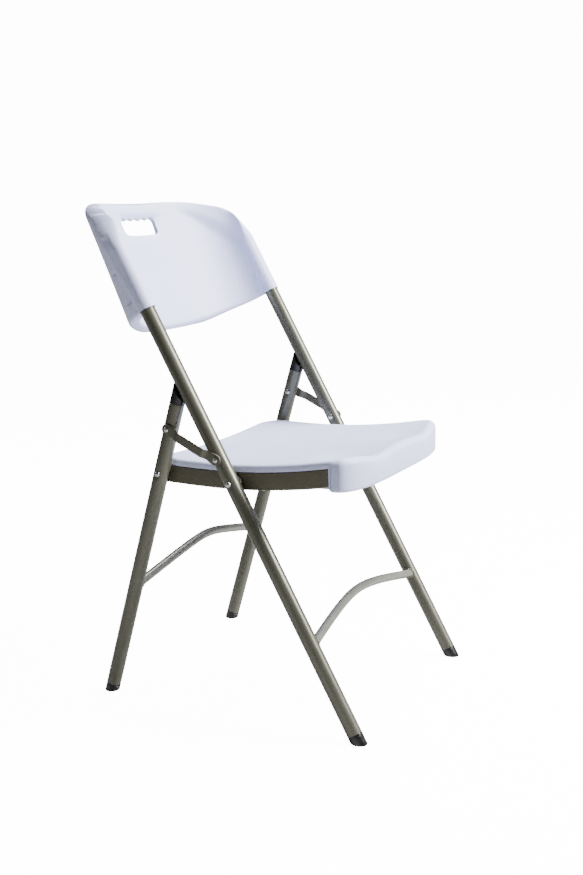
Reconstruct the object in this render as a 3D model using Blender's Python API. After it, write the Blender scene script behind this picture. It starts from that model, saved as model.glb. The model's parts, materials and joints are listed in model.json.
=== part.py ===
"""Folding chair with a tubular steel frame and blow-moulded plastic seat and back.

Metres, +Z up, the sitter faces -Y, the chair's right side is -X.  The origin is on
the floor at the centre of the bounding box.  The chair stands open at rest.
"""
import math

import bmesh
import bpy
import numpy as np
from mathutils import Matrix, Vector

# --- frame tubes -------------------------------------------------------------------
TUBE_X = 0.2013
TUBE_R = 0.0125
TUBE_BORE_R = 0.0113
FRONT_FOOT_Y = -0.2652
REAR_FOOT_Y = 0.2156
FRONT_LEAN = math.radians(28.70)
REAR_LEAN = math.radians(17.37)
FRONT_TUBE_TOP = 0.866
REAR_TUBE_TOP = 0.5465
FOOT_HEIGHT = 0.016
STUB_DEPTH = 0.020             # how far each plug reaches into its tube
STOP_GAP = 0.0006              # between the rear tube's plug and the front tube
FIT_GAP = 0.0003

# --- pivots, as distances up each tube from its floor point -------------------------
STRAP_FRONT_S = 0.49884
SEAT_FRONT_S = 0.45512
STRAP_REAR_S = 0.50346
SEAT_REAR_S = 0.42320
RIVET_R = 0.0030
RIVET_HEAD_R = 0.0047
RIVET_HEAD_H = 0.0026

# --- crossbars -----------------------------------------------------------------------
BAR_R = 0.0075
BAR_FORWARD = 0.0020
FRONT_BAR_END_Z = 0.1485
FRONT_BAR_RISE = 0.0294
REAR_BAR_END_Z = 0.203
REAR_BAR_RISE = 0.039
FRONT_BAR_BEND = 0.40          # share of the half length taken by the bend in the middle
REAR_BAR_BEND = 0.20

# --- link straps -----------------------------------------------------------------------
STRAP_T = 0.0024
STRAP_END_R = 0.0090
STRAP_MID_W = 0.0145
STRAP_JOGGLE = 0.0052
STRAP_KINK_IN = 0.016
STRAP_KINK_OUT = 0.026

# --- seat rails ----------------------------------------------------------------------
RAIL_OUT_X = 0.1866
RAIL_T = 0.0020
RAIL_H = 0.0285
RAIL_FLANGE = 0.0180
RAIL_FRONT_Y = FRONT_FOOT_Y + 0.0552
RAIL_REAR_Y = FRONT_FOOT_Y + 0.3690
RAIL_LOW_Y = FRONT_FOOT_Y + 0.2704
RAIL_LOW_Z = 0.4120
RAIL_FRONT_RATE = 0.454
RAIL_REAR_RATE = 0.20
RAIL_SCREW_X = 0.1755
RAIL_SCREW_Y = (RAIL_FRONT_Y + 0.040, RAIL_FRONT_Y + 0.120, RAIL_FRONT_Y + 0.262)

# --- seat panel ----------------------------------------------------------------------
SEAT_HALF_W = 0.1864
SEAT_BODY_X = 0.1811
SEAT_FRONT_Y = FRONT_FOOT_Y + 0.0035
SEAT_FRONT_BOW = 0.035
SEAT_REAR_Y = FRONT_FOOT_Y + 0.3704
SEAT_LIP_H = 0.0130
SEAT_BLOCK_Y = FRONT_FOOT_Y + 0.0542
SEAT_BLOCK_Z = 0.3962
SEAT_DISH = 0.009
THIGH_DIP = 0.008
THIGH_DIP_X = 0.095
SEAT_WALL = 0.0034

# --- back panel, in the plane of the front tubes: x, n (rearwards), s (up the tubes) --
BACK_BOTTOM_S = 0.7620
BACK_REAR_BOTTOM_S = 0.7603
SLEEVE_END_S = 0.7655
BACK_CORNER_S = 0.874
BACK_CORNER_RISE = 0.1203
BACK_TOP_DEPTH = 0.070
BACK_BULGE = 0.087
BACK_BULGE_GAIN = 0.147
BACK_GAIN_S = 0.923
BACK_THICKNESS = 0.014
BACK_CREASE_X = 0.1865
BACK_REAR_X = 0.2060
BACK_REAR_POWER = 2.20
BACK_SHOULDER = 0.025          # extra fullness beside the middle, near the lower edge
SLEEVE_R = 0.0145
SLEEVE_WIDEN = 0.085
BACK_EDGE_R = 0.0065
BACK_WALL = 0.0034
BACK_SCREW_S = (0.792, 0.845)
BACK_SCREW_SEAT = 0.0155
HANDLE_S = 0.934
HANDLE_HEIGHT = 0.0325
HANDLE_HALF_W = 0.050

FRONT_UP = Vector((0.0, math.sin(FRONT_LEAN), math.cos(FRONT_LEAN)))
FRONT_BACK = Vector((0.0, math.cos(FRONT_LEAN), -math.sin(FRONT_LEAN)))
REAR_UP = Vector((0.0, -math.sin(REAR_LEAN), math.cos(REAR_LEAN)))
FRONT_FLOOR = Vector((0.0, FRONT_FOOT_Y, 0.0))
REAR_FLOOR = Vector((0.0, REAR_FOOT_Y, 0.0))
STRAP_FRONT = FRONT_FLOOR + FRONT_UP * STRAP_FRONT_S
SEAT_FRONT = FRONT_FLOOR + FRONT_UP * SEAT_FRONT_S
STRAP_REAR = REAR_FLOOR + REAR_UP * STRAP_REAR_S
SEAT_REAR = REAR_FLOOR + REAR_UP * SEAT_REAR_S
SIDES = (("right", -1.0), ("left", 1.0))


# --- scene and materials --------------------------------------------------------------
def clear_scene():
    for obj in list(bpy.data.objects):
        bpy.data.objects.remove(obj, do_unlink=True)


def make_collection(name):
    group = bpy.data.collections.new(name)
    bpy.context.scene.collection.children.link(group)
    return group


def make_material(name, colour, roughness, metallic=0.0):
    mat = bpy.data.materials.new(name)
    mat.use_nodes = True
    shader = mat.node_tree.nodes["Principled BSDF"]
    shader.inputs["Base Color"].default_value = (*colour, 1.0)
    shader.inputs["Roughness"].default_value = roughness
    shader.inputs["Metallic"].default_value = metallic
    return mat


# --- mesh helpers ---------------------------------------------------------------------
def mesh_object(name, bm, group):
    bmesh.ops.recalc_face_normals(bm, faces=bm.faces)
    mesh = bpy.data.meshes.new(name)
    bm.to_mesh(mesh)
    bm.free()
    obj = bpy.data.objects.new(name, mesh)
    group.objects.link(obj)
    return obj


def cutter_object(name, bm):
    obj = mesh_object(name, bm, CUTTERS)
    obj.hide_render = True
    obj.display_type = "WIRE"
    return obj


def axis_matrix(start, direction):
    turn = Vector((0.0, 0.0, 1.0)).rotation_difference(direction.normalized())
    return Matrix.Translation(start) @ turn.to_matrix().to_4x4()


def add_rod(bm, start, end, radius, segments=32):
    direction = end - start
    centre = axis_matrix(start, direction) @ Matrix.Translation((0.0, 0.0, direction.length / 2))
    bmesh.ops.create_cone(
        bm,
        cap_ends=True,
        segments=segments,
        radius1=radius,
        radius2=radius,
        depth=direction.length,
        matrix=centre,
    )


def rod_cutter(name, start, end, radius, segments=16):
    bm = bmesh.new()
    add_rod(bm, start, end, radius, segments)
    return cutter_object(name, bm)


def add_lathe(bm, start, direction, profile, segments):
    """Turn a profile of (radius, height) pairs about an axis; the ends lie on the axis."""
    frame = axis_matrix(start, direction)
    first = bm.verts.new(frame @ Vector((0.0, 0.0, profile[0][1])))
    last = bm.verts.new(frame @ Vector((0.0, 0.0, profile[-1][1])))
    rings = []
    for radius, height in profile[1:-1]:
        ring = []
        for k in range(segments):
            turn = 2.0 * math.pi * k / segments
            point = Vector((radius * math.cos(turn), radius * math.sin(turn), height))
            ring.append(bm.verts.new(frame @ point))
        rings.append(ring)
    for k in range(segments):
        nxt = (k + 1) % segments
        bm.faces.new((first, rings[0][nxt], rings[0][k]))
        bm.faces.new((last, rings[-1][k], rings[-1][nxt]))
        for low, high in zip(rings[:-1], rings[1:]):
            bm.faces.new((low[k], low[nxt], high[nxt], high[k]))


def add_prism(bm, outline, offset):
    """Extrude a closed outline of points by the vector offset."""
    low = [bm.verts.new(point) for point in outline]
    high = [bm.verts.new(point + offset) for point in outline]
    bm.faces.new(low)
    bm.faces.new(high)
    count = len(outline)
    for k in range(count):
        nxt = (k + 1) % count
        bm.faces.new((low[k], low[nxt], high[nxt], high[k]))


def add_sheet(bm, one, two):
    """Close the space between two grids of points that share the same rows and columns."""
    rows = len(one)
    cols = len(one[0])
    front = [[bm.verts.new(point) for point in row] for row in one]
    back = [[bm.verts.new(point) for point in row] for row in two]
    for j in range(rows - 1):
        for i in range(cols - 1):
            bm.faces.new((front[j][i], front[j][i + 1], front[j + 1][i + 1], front[j + 1][i]))
            bm.faces.new((back[j][i], back[j + 1][i], back[j + 1][i + 1], back[j][i + 1]))
        bm.faces.new((front[j][0], front[j + 1][0], back[j + 1][0], back[j][0]))
        bm.faces.new((front[j][-1], back[j][-1], back[j + 1][-1], front[j + 1][-1]))
    for i in range(cols - 1):
        bm.faces.new((front[0][i], back[0][i], back[0][i + 1], front[0][i + 1]))
        bm.faces.new((front[-1][i], front[-1][i + 1], back[-1][i + 1], back[-1][i]))


def apply_modifier(obj, modifier):
    bpy.context.view_layer.objects.active = obj
    bpy.ops.object.modifier_apply(modifier=modifier.name)


def boolean(obj, cutter, operation="DIFFERENCE"):
    modifier = obj.modifiers.new(cutter.name, "BOOLEAN")
    modifier.operation = operation
    modifier.solver = "EXACT"
    modifier.object = cutter
    apply_modifier(obj, modifier)


def finish(obj, material, origin):
    """Weld the mesh and give the object its material and its origin."""
    bm = bmesh.new()
    bm.from_mesh(obj.data)
    bmesh.ops.remove_doubles(bm, verts=bm.verts, dist=0.00002)
    bmesh.ops.dissolve_degenerate(bm, edges=bm.edges, dist=0.00002)
    bmesh.ops.recalc_face_normals(bm, faces=bm.faces)
    bm.to_mesh(obj.data)
    bm.free()
    obj.data.transform(Matrix.Translation(-origin))
    obj.location = origin
    obj.data.materials.clear()
    obj.data.materials.append(material)
    for polygon in obj.data.polygons:
        polygon.use_smooth = False


def smoothstep(value):
    value = min(max(value, 0.0), 1.0)
    return value * value * (3.0 - 2.0 * value)


# --- frame ------------------------------------------------------------------------------
def tube_point(side, floor, up, s):
    return Vector((side * TUBE_X, 0.0, 0.0)) + floor + up * s


def build_tube(name, side, floor, up, top, holes, origin):
    start = tube_point(side, floor, up, FOOT_HEIGHT + FIT_GAP)
    end = tube_point(side, floor, up, top)
    bm = bmesh.new()
    add_rod(bm, start, end, TUBE_R)
    tube = mesh_object(name, bm, CHAIR)
    boolean(tube, rod_cutter(name + "_bore", start - up * 0.01, end + up * 0.01, TUBE_BORE_R, 32))
    for index, (s, radius, direction, reach) in enumerate(holes):
        centre = tube_point(side, floor, up, s)
        boolean(tube, rod_cutter(f"{name}_hole_{index}", centre + direction * reach[0],
                                 centre + direction * reach[1], radius))
    finish(tube, STEEL_PAINT, origin + Vector((side * TUBE_X, 0.0, 0.0)))


def bar_fall(share, bend):
    """Drop from the middle (0) to the end (1) of a bar that is straight beyond its bend."""
    return (math.hypot(share, bend) - bend) / (math.hypot(1.0, bend) - bend)


def build_crossbar(name, floor, up, forward, end_z, rise, bend, origin):
    half = TUBE_X - 0.002
    points = []
    steps = 30
    for k in range(steps + 1):
        x = -half + 2.0 * half * k / steps
        height = end_z + rise * (1.0 - bar_fall(x / half, bend))
        point = floor + up * (height / up.z) + forward * BAR_FORWARD
        points.append((x, point.y, point.z))
    curve = bpy.data.curves.new(name, "CURVE")
    curve.dimensions = "3D"
    curve.bevel_depth = BAR_R
    curve.bevel_resolution = 3
    curve.use_fill_caps = True
    spline = curve.splines.new("POLY")
    spline.points.add(steps)
    for k, (x, y, z) in enumerate(points):
        spline.points[k].co = (x, y, z, 1.0)
    path = bpy.data.objects.new(name + "_path", curve)
    CHAIR.objects.link(path)
    depsgraph = bpy.context.evaluated_depsgraph_get()
    mesh = bpy.data.meshes.new_from_object(path.evaluated_get(depsgraph))
    bm = bmesh.new()
    bm.from_mesh(mesh)
    bmesh.ops.remove_doubles(bm, verts=bm.verts, dist=0.00005)
    bar = mesh_object(name, bm, CHAIR)
    bpy.data.objects.remove(path, do_unlink=True)
    bpy.data.meshes.remove(mesh)
    for label, side in SIDES:
        low = tube_point(side, floor, up, (end_z - 0.06) / up.z)
        high = tube_point(side, floor, up, (end_z + 0.06) / up.z)
        boolean(bar, rod_cutter(f"{name}_cope_{label}", low, high, TUBE_R + FIT_GAP, 32))
    finish(bar, STEEL_PAINT, origin)


def build_foot(name, side, floor, up, origin):
    bm = bmesh.new()
    add_rod(bm, tube_point(side, floor, up, -0.02), tube_point(side, floor, up, FOOT_HEIGHT), TUBE_R)
    foot = mesh_object(name, bm, CHAIR)
    bm = bmesh.new()
    add_rod(bm, tube_point(side, floor, up, FOOT_HEIGHT - 0.012),
            tube_point(side, floor, up, FOOT_HEIGHT + STUB_DEPTH), TUBE_BORE_R - FIT_GAP)
    boolean(foot, cutter_object(name + "_stub", bm), "UNION")
    bm = bmesh.new()
    centre = tube_point(side, floor, up, 0.0) - Vector((0.0, 0.0, 0.05))
    bmesh.ops.create_cube(bm, size=0.1, matrix=Matrix.Translation(centre))
    boolean(foot, cutter_object(name + "_floor", bm))
    finish(foot, BLACK_PLASTIC, origin + Vector((side * TUBE_X, 0.0, 0.0)))


def build_rear_cap(name, side, origin):
    """Plug in the top of the rear tube, cut flat where it rests against the front tube."""
    bm = bmesh.new()
    add_rod(bm, tube_point(side, REAR_FLOOR, REAR_UP, REAR_TUBE_TOP + FIT_GAP),
            tube_point(side, REAR_FLOOR, REAR_UP, REAR_TUBE_TOP + 0.06), TUBE_R)
    cap = mesh_object(name, bm, CHAIR)
    bm = bmesh.new()
    add_rod(bm, tube_point(side, REAR_FLOOR, REAR_UP, REAR_TUBE_TOP - STUB_DEPTH),
            tube_point(side, REAR_FLOOR, REAR_UP, REAR_TUBE_TOP + 0.004), TUBE_BORE_R - FIT_GAP)
    boolean(cap, cutter_object(name + "_stub", bm), "UNION")
    bm = bmesh.new()
    size = 0.2
    top = tube_point(side, REAR_FLOOR, REAR_UP, REAR_TUBE_TOP)
    level = (top - FRONT_FLOOR).dot(FRONT_UP)
    face = tube_point(side, FRONT_FLOOR, FRONT_UP, level) + FRONT_BACK * (TUBE_R + STOP_GAP)
    turn = Matrix.Rotation(-FRONT_LEAN, 4, "X")
    bmesh.ops.create_cube(bm, size=size, matrix=Matrix.Translation(face - FRONT_BACK * size / 2) @ turn)
    boolean(cap, cutter_object(name + "_stop", bm))
    finish(cap, BLACK_PLASTIC, origin + Vector((side * TUBE_X, 0.0, 0.0)))


# --- links and fasteners ------------------------------------------------------------
def build_strap(name, side):
    """Flat bar between the strap pivots, set outwards between its two flat ends."""
    inner = side * (TUBE_X + TUBE_R + FIT_GAP)
    along = (STRAP_REAR - STRAP_FRONT).normalized()
    across = Vector((1.0, 0.0, 0.0)).cross(along)
    length = (STRAP_REAR - STRAP_FRONT).length
    stations = []
    for k in range(7):
        turn = math.radians(90.0 * k / 6.0)
        stations.append((-STRAP_END_R * math.cos(turn), STRAP_END_R * max(math.sin(turn), 0.12)))
    waist = STRAP_MID_W / 2
    stations += [(0.005, 0.0087), (STRAP_KINK_IN, waist), (STRAP_KINK_OUT, waist)]
    stations += [(length - a, w) for a, w in reversed(stations)]
    one = []
    two = []
    for a, width in stations:
        ramp = smoothstep((a - STRAP_KINK_IN) / (STRAP_KINK_OUT - STRAP_KINK_IN))
        fall = smoothstep((length - a - STRAP_KINK_IN) / (STRAP_KINK_OUT - STRAP_KINK_IN))
        x = inner + side * STRAP_JOGGLE * min(ramp, fall)
        centre = STRAP_FRONT + along * a
        for rows, depth in ((one, 0.0), (two, side * STRAP_T)):
            base = Vector((x + depth, centre.y, centre.z))
            rows.append([base - across * width, base, base + across * width])
    bm = bmesh.new()
    add_sheet(bm, one, two)
    strap = mesh_object(name, bm, CHAIR)
    out = Vector((side, 0.0, 0.0))
    for label, pivot in (("front", STRAP_FRONT), ("rear", STRAP_REAR)):
        centre = Vector((inner, pivot.y, pivot.z))
        boolean(strap, rod_cutter(f"{name}_{label}_hole", centre - out * 0.005, centre + out * 0.01,
                                  RIVET_R + FIT_GAP, 16))
    finish(strap, STRAP_PAINT, STRAP_FRONT + Vector((inner, 0.0, 0.0)))


def dome(radius, height, base, sign, steps=3):
    return [(radius * math.cos(math.radians(90.0 * k / steps)),
             base + sign * height * math.sin(math.radians(90.0 * k / steps)))
            for k in range(steps)]


def build_rivet(name, side, pivot, outer, inner, origin, tail_radius=RIVET_HEAD_R):
    """Domed rivet on a cross axis from x = outer (head) to x = inner (tail)."""
    span = outer - inner
    head = dome(RIVET_HEAD_R, RIVET_HEAD_H, 0.0, 1.0)
    profile = [(0.0, RIVET_HEAD_H)] + head[::-1]
    profile.append((RIVET_R, 0.0))
    profile.append((RIVET_R, -span))
    if tail_radius > RIVET_R:
        profile += dome(tail_radius, 0.0012, -span, -1.0)
        profile.append((0.0, -span - 0.0012))
    else:
        profile.append((0.0, -span))
    bm = bmesh.new()
    start = Vector((side * outer, pivot.y, pivot.z))
    add_lathe(bm, start, Vector((side, 0.0, 0.0)), profile, 12)
    rivet = mesh_object(name, bm, CHAIR)
    finish(rivet, RIVET_STEEL, origin)


def build_spacer(name, side, pivot, origin):
    outer = TUBE_X - TUBE_R - FIT_GAP
    inner = RAIL_OUT_X + FIT_GAP
    bm = bmesh.new()
    add_rod(bm, Vector((side * inner, pivot.y, pivot.z)), Vector((side * outer, pivot.y, pivot.z)),
            0.0085, 24)
    spacer = mesh_object(name, bm, CHAIR)
    boolean(spacer, rod_cutter(name + "_hole", Vector((side * (inner - 0.01), pivot.y, pivot.z)),
                               Vector((side * (outer + 0.01), pivot.y, pivot.z)), RIVET_R + FIT_GAP))
    finish(spacer, NYLON, origin)


def build_screw(name, seat_point, direction, head_r, head_h, shank_r, shank_len, origin):
    """Pan-head screw; seat_point is under the head, direction points out of the head."""
    profile = [(0.0, head_h), (head_r * 0.62, head_h), (head_r * 0.92, head_h * 0.66), (head_r, 0.0)]
    profile += [(shank_r, 0.0), (shank_r, -shank_len * 0.82), (shank_r * 0.4, -shank_len)]
    profile.append((0.0, -shank_len))
    bm = bmesh.new()
    add_lathe(bm, seat_point, direction, profile, 12)
    screw = mesh_object(name, bm, CHAIR)
    finish(screw, SCREW_STEEL, origin)


# --- seat -----------------------------------------------------------------------------
def rail_rate(y):
    return RAIL_FRONT_RATE if y < RAIL_LOW_Y else RAIL_REAR_RATE


def rail_top(y):
    return RAIL_LOW_Z + rail_rate(y) * (y - RAIL_LOW_Y) ** 2


def rail_down(y):
    """Unit vector square to the rail's underside, pointing down."""
    return Vector((0.0, 2.0 * rail_rate(y) * (y - RAIL_LOW_Y), -1.0)).normalized()


def build_rail(name, side):
    steps = 20
    stations = [RAIL_FRONT_Y + (RAIL_REAR_Y - RAIL_FRONT_Y) * k / steps for k in range(steps + 1)]
    outer = side * RAIL_OUT_X
    upper = [Vector((outer, y, rail_top(y))) for y in stations]
    lower = [Vector((outer, y, rail_top(y) - RAIL_H)) for y in stations]
    bm = bmesh.new()
    add_prism(bm, upper + lower[::-1], Vector((-side * RAIL_T, 0.0, 0.0)))
    rail = mesh_object(name, bm, CHAIR)
    lift = Vector((0.0, 0.0, RAIL_T))
    inset = Vector((-side * 0.001, 0.0, 0.0))
    bm = bmesh.new()
    add_prism(bm, [p + inset for p in lower] + [p + inset + lift for p in lower[::-1]],
              Vector((-side * (RAIL_FLANGE - 0.001), 0.0, 0.0)))
    boolean(rail, cutter_object(name + "_flange", bm), "UNION")
    out = Vector((side, 0.0, 0.0))
    for label, pivot in (("front", SEAT_FRONT), ("rear", SEAT_REAR)):
        centre = Vector((outer, pivot.y, pivot.z))
        boolean(rail, rod_cutter(f"{name}_{label}_hole", centre - out * 0.01, centre + out * 0.01,
                                 RIVET_R + FIT_GAP))
    for index, y in enumerate(RAIL_SCREW_Y):
        centre = Vector((side * RAIL_SCREW_X, y, rail_top(y) - RAIL_H))
        boolean(rail, rod_cutter(f"{name}_screw_{index}", centre - rail_down(y) * 0.01,
                                 centre + rail_down(y) * 0.01, 0.0024))
    finish(rail, RAIL_PAINT, SEAT_FRONT + Vector((outer, 0.0, 0.0)))


def seat_front_edge(x):
    ratio = min(abs(x) / (SEAT_HALF_W + 0.0005), 1.0)
    return SEAT_FRONT_Y + SEAT_FRONT_BOW * (1.0 - (1.0 - ratio ** 4) ** 0.6)


def seat_rear_edge(x):
    corner = 0.045
    over = max(abs(x) - (SEAT_HALF_W - corner), 0.0) / corner
    return SEAT_REAR_Y - corner * (1.0 - math.sqrt(max(1.0 - 0.96 * over * over, 0.0)))


def seat_top(x, y):
    base = rail_top(y) + SEAT_LIP_H
    across = max(1.0 - (x / 0.176) ** 2, 0.0)
    rear = smoothstep((SEAT_REAR_Y + 0.060 - y) / 0.100)
    front = smoothstep((SEAT_FRONT_Y + 0.150 - y) / 0.110)
    dip = THIGH_DIP * math.exp(-(((abs(x) - THIGH_DIP_X) / 0.042) ** 2)) * front
    return base - SEAT_DISH * across ** 1.4 * rear - dip


def seat_under(x, y):
    body = min(rail_top(y) - RAIL_H - 0.004, SEAT_BLOCK_Z)
    if y < SEAT_BLOCK_Y:
        return SEAT_BLOCK_Z
    if abs(x) > SEAT_BODY_X:
        return rail_top(y) + FIT_GAP
    if abs(x) > RAIL_OUT_X - RAIL_FLANGE - 0.001:
        return rail_top(y) - RAIL_H + RAIL_T + FIT_GAP
    return body


def seat_outline():
    xs = np.linspace(-SEAT_HALF_W, SEAT_HALF_W, 121)
    front = [(x, seat_front_edge(x)) for x in xs]
    rear = [(x, seat_rear_edge(x)) for x in xs[::-1]]
    return np.array(front + rear + front[:1])


def outline_distance(outline, x, y):
    start = outline[:-1]
    step = outline[1:] - start
    offset = np.array([x, y]) - start
    share = np.clip((offset * step).sum(1) / np.maximum((step * step).sum(1), 1e-12), 0.0, 1.0)
    gap = offset - step * share[:, None]
    return float(np.sqrt((gap * gap).sum(1).min()))


def edge_drop(radius, distance):
    if distance >= radius:
        return 0.0
    return radius - math.sqrt(max(radius * radius - (radius - distance) ** 2, 0.0))


def build_seat_panel():
    outline = seat_outline()
    flange_x = RAIL_OUT_X - RAIL_FLANGE - 0.001
    half = [0.0, 0.030, 0.060, 0.095, 0.125, 0.148, flange_x - 0.0004, flange_x + 0.0004,
            0.175, SEAT_BODY_X - 0.0003, SEAT_BODY_X + 0.0003, 0.1850, SEAT_HALF_W]
    xs = [-x for x in half[:0:-1]] + half
    shares = (0.0, 0.06, 0.16, 0.32, 0.62)
    one = []
    two = []
    for x in xs:
        front = seat_front_edge(x)
        rear = seat_rear_edge(x)
        ys = [front + share * (SEAT_BLOCK_Y - front) for share in shares]
        ys += [SEAT_BLOCK_Y - 0.0004, SEAT_BLOCK_Y + 0.0004]
        span = rear - SEAT_BLOCK_Y
        ys += [SEAT_BLOCK_Y + span * share
               for share in (0.07, 0.16, 0.28, 0.42, 0.56, 0.70, 0.82, 0.91)]
        ys += [rear - 0.010, rear - 0.004, rear]
        top = []
        under = []
        for y in ys:
            distance = outline_distance(outline, x, y)
            near_front = smoothstep((SEAT_BLOCK_Y + 0.004 - y) / 0.024)
            upper = seat_top(x, y) - edge_drop(0.006 + 0.009 * near_front, distance)
            lower = seat_under(x, y) + edge_drop(0.003 + 0.005 * near_front, distance)
            top.append(Vector((x, y, upper)))
            under.append(Vector((x, y, min(lower, upper - 0.002))))
        one.append(top)
        two.append(under)
    bm = bmesh.new()
    add_sheet(bm, one, two)
    seat = mesh_object("seat_panel", bm, CHAIR)
    inner_x = np.linspace(-0.158, 0.158, 9)
    one = []
    two = []
    for x in inner_x:
        ys = np.linspace(seat_front_edge(x) + 0.022, SEAT_REAR_Y - 0.018, 9)
        one.append([Vector((x, y, seat_top(x, y) - SEAT_WALL - 0.0016)) for y in ys])
        two.append([Vector((x, y, max(seat_under(x, y), SEAT_BLOCK_Z if y < SEAT_BLOCK_Y + 0.02
                                      else 0.0) + SEAT_WALL + 0.001)) for y in ys])
    bm = bmesh.new()
    add_sheet(bm, one, two)
    boolean(seat, cutter_object("seat_cavity", bm))
    vent = Vector((0.0, RAIL_LOW_Y + 0.03, 0.0))
    boolean(seat, rod_cutter("seat_vent", vent + Vector((0, 0, 0.37)), vent + Vector((0, 0, 0.392)),
                             0.004, 12))
    for index, y in enumerate(RAIL_SCREW_Y):
        for label, side in SIDES:
            low = Vector((side * RAIL_SCREW_X, y, rail_top(y) - RAIL_H))
            boolean(seat, rod_cutter(f"seat_screw_{index}_{label}", low + rail_down(y) * 0.01,
                                     low - rail_down(y) * 0.0155, 0.0021, 12))
    finish(seat, WHITE_PLASTIC, SEAT_FRONT.copy())


# --- back ------------------------------------------------------------------------------
def back_point(x, n, s):
    return Vector((x, 0.0, 0.0)) + FRONT_FLOOR + FRONT_UP * s + FRONT_BACK * n


def back_top(x):
    """Upper edge: nearly level in the middle, with large round corners."""
    ratio = min(abs(x) / (TUBE_X + SLEEVE_R), 1.0)
    return BACK_CORNER_S + BACK_CORNER_RISE * (1.0 - ratio ** 3.8) ** 0.72


def back_rear_top(x):
    """Upper edge of the rear face, which is squarer at the corners than the front one."""
    ratio = min(abs(x) / (TUBE_X + SLEEVE_R), 1.0)
    return BACK_CORNER_S + BACK_CORNER_RISE * (1.0 - ratio ** 4.6) ** 0.50


def back_bottom(x, low):
    """Lower edge, which rises a little towards the two sleeve mouths."""
    return low + (SLEEVE_END_S - low) * smoothstep((abs(x) - 0.080) / 0.090)


def back_bulge(s):
    return BACK_BULGE + BACK_BULGE_GAIN * (BACK_GAIN_S - s)


def arch(x, half):
    return math.sqrt(max(1.0 - (x / half) ** 2, 0.0))


def full_arch(x):
    return max(1.0 - (abs(x) / BACK_REAR_X) ** BACK_REAR_POWER, 0.0) ** (1.0 / BACK_REAR_POWER)


def back_front_n(x, s, distance):
    """Elliptical hollow between two rolls that hold the tubes and fade along the top."""
    base = (back_bulge(s) - BACK_THICKNESS) * arch(x, BACK_CREASE_X)
    width = 2.0 * SLEEVE_R * (1.0 - 0.35 * smoothstep((0.170 - abs(x)) / 0.070))
    height = SLEEVE_R * smoothstep((abs(x) - 0.085) / 0.090)
    height *= 1.0 - 0.20 * smoothstep((s - 0.876) / 0.050)
    if distance >= width:
        return base
    share = 1.0 - 2.0 * distance / width
    roll = base - height * arch(share, 1.0)
    if share > 0.0:
        edge = BACK_TOP_DEPTH * max(1.0 - (abs(x) / BACK_CREASE_X) ** 2.2, 0.0)
        crest = base - height
        level = smoothstep((s - 0.872) / 0.035)
        roll += (crest + (edge - crest) * share * share - roll) * level
    return roll


def back_rear_n(x, s, distance):
    """Elliptical rear face, closed at each side by the round outer wall of the sleeve."""
    shoulder = BACK_SHOULDER * math.exp(-(((abs(x) - 0.115) / 0.040) ** 2))
    shoulder *= 1.0 - smoothstep((s - SLEEVE_END_S) / 0.090)
    shell = back_bulge(s) * (full_arch(x) + shoulder)
    shell -= edge_drop(BACK_EDGE_R, min(distance, s - back_bottom(x, BACK_REAR_BOTTOM_S)))
    flat = 0.0005 + SLEEVE_WIDEN * max(s - SLEEVE_END_S, 0.0)
    return max(shell, flat + SLEEVE_R * arch(max(SLEEVE_R - distance, 0.0), SLEEVE_R))


def back_outline(top):
    half = TUBE_X + SLEEVE_R
    xs = half * np.sin(np.linspace(-math.pi / 2, math.pi / 2, 161))
    return np.array([(-half, 0.60)] + [(x, top(x)) for x in xs] + [(half, 0.60)])


def both_sides(half):
    return [-x for x in half[:0:-1]] + half


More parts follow.
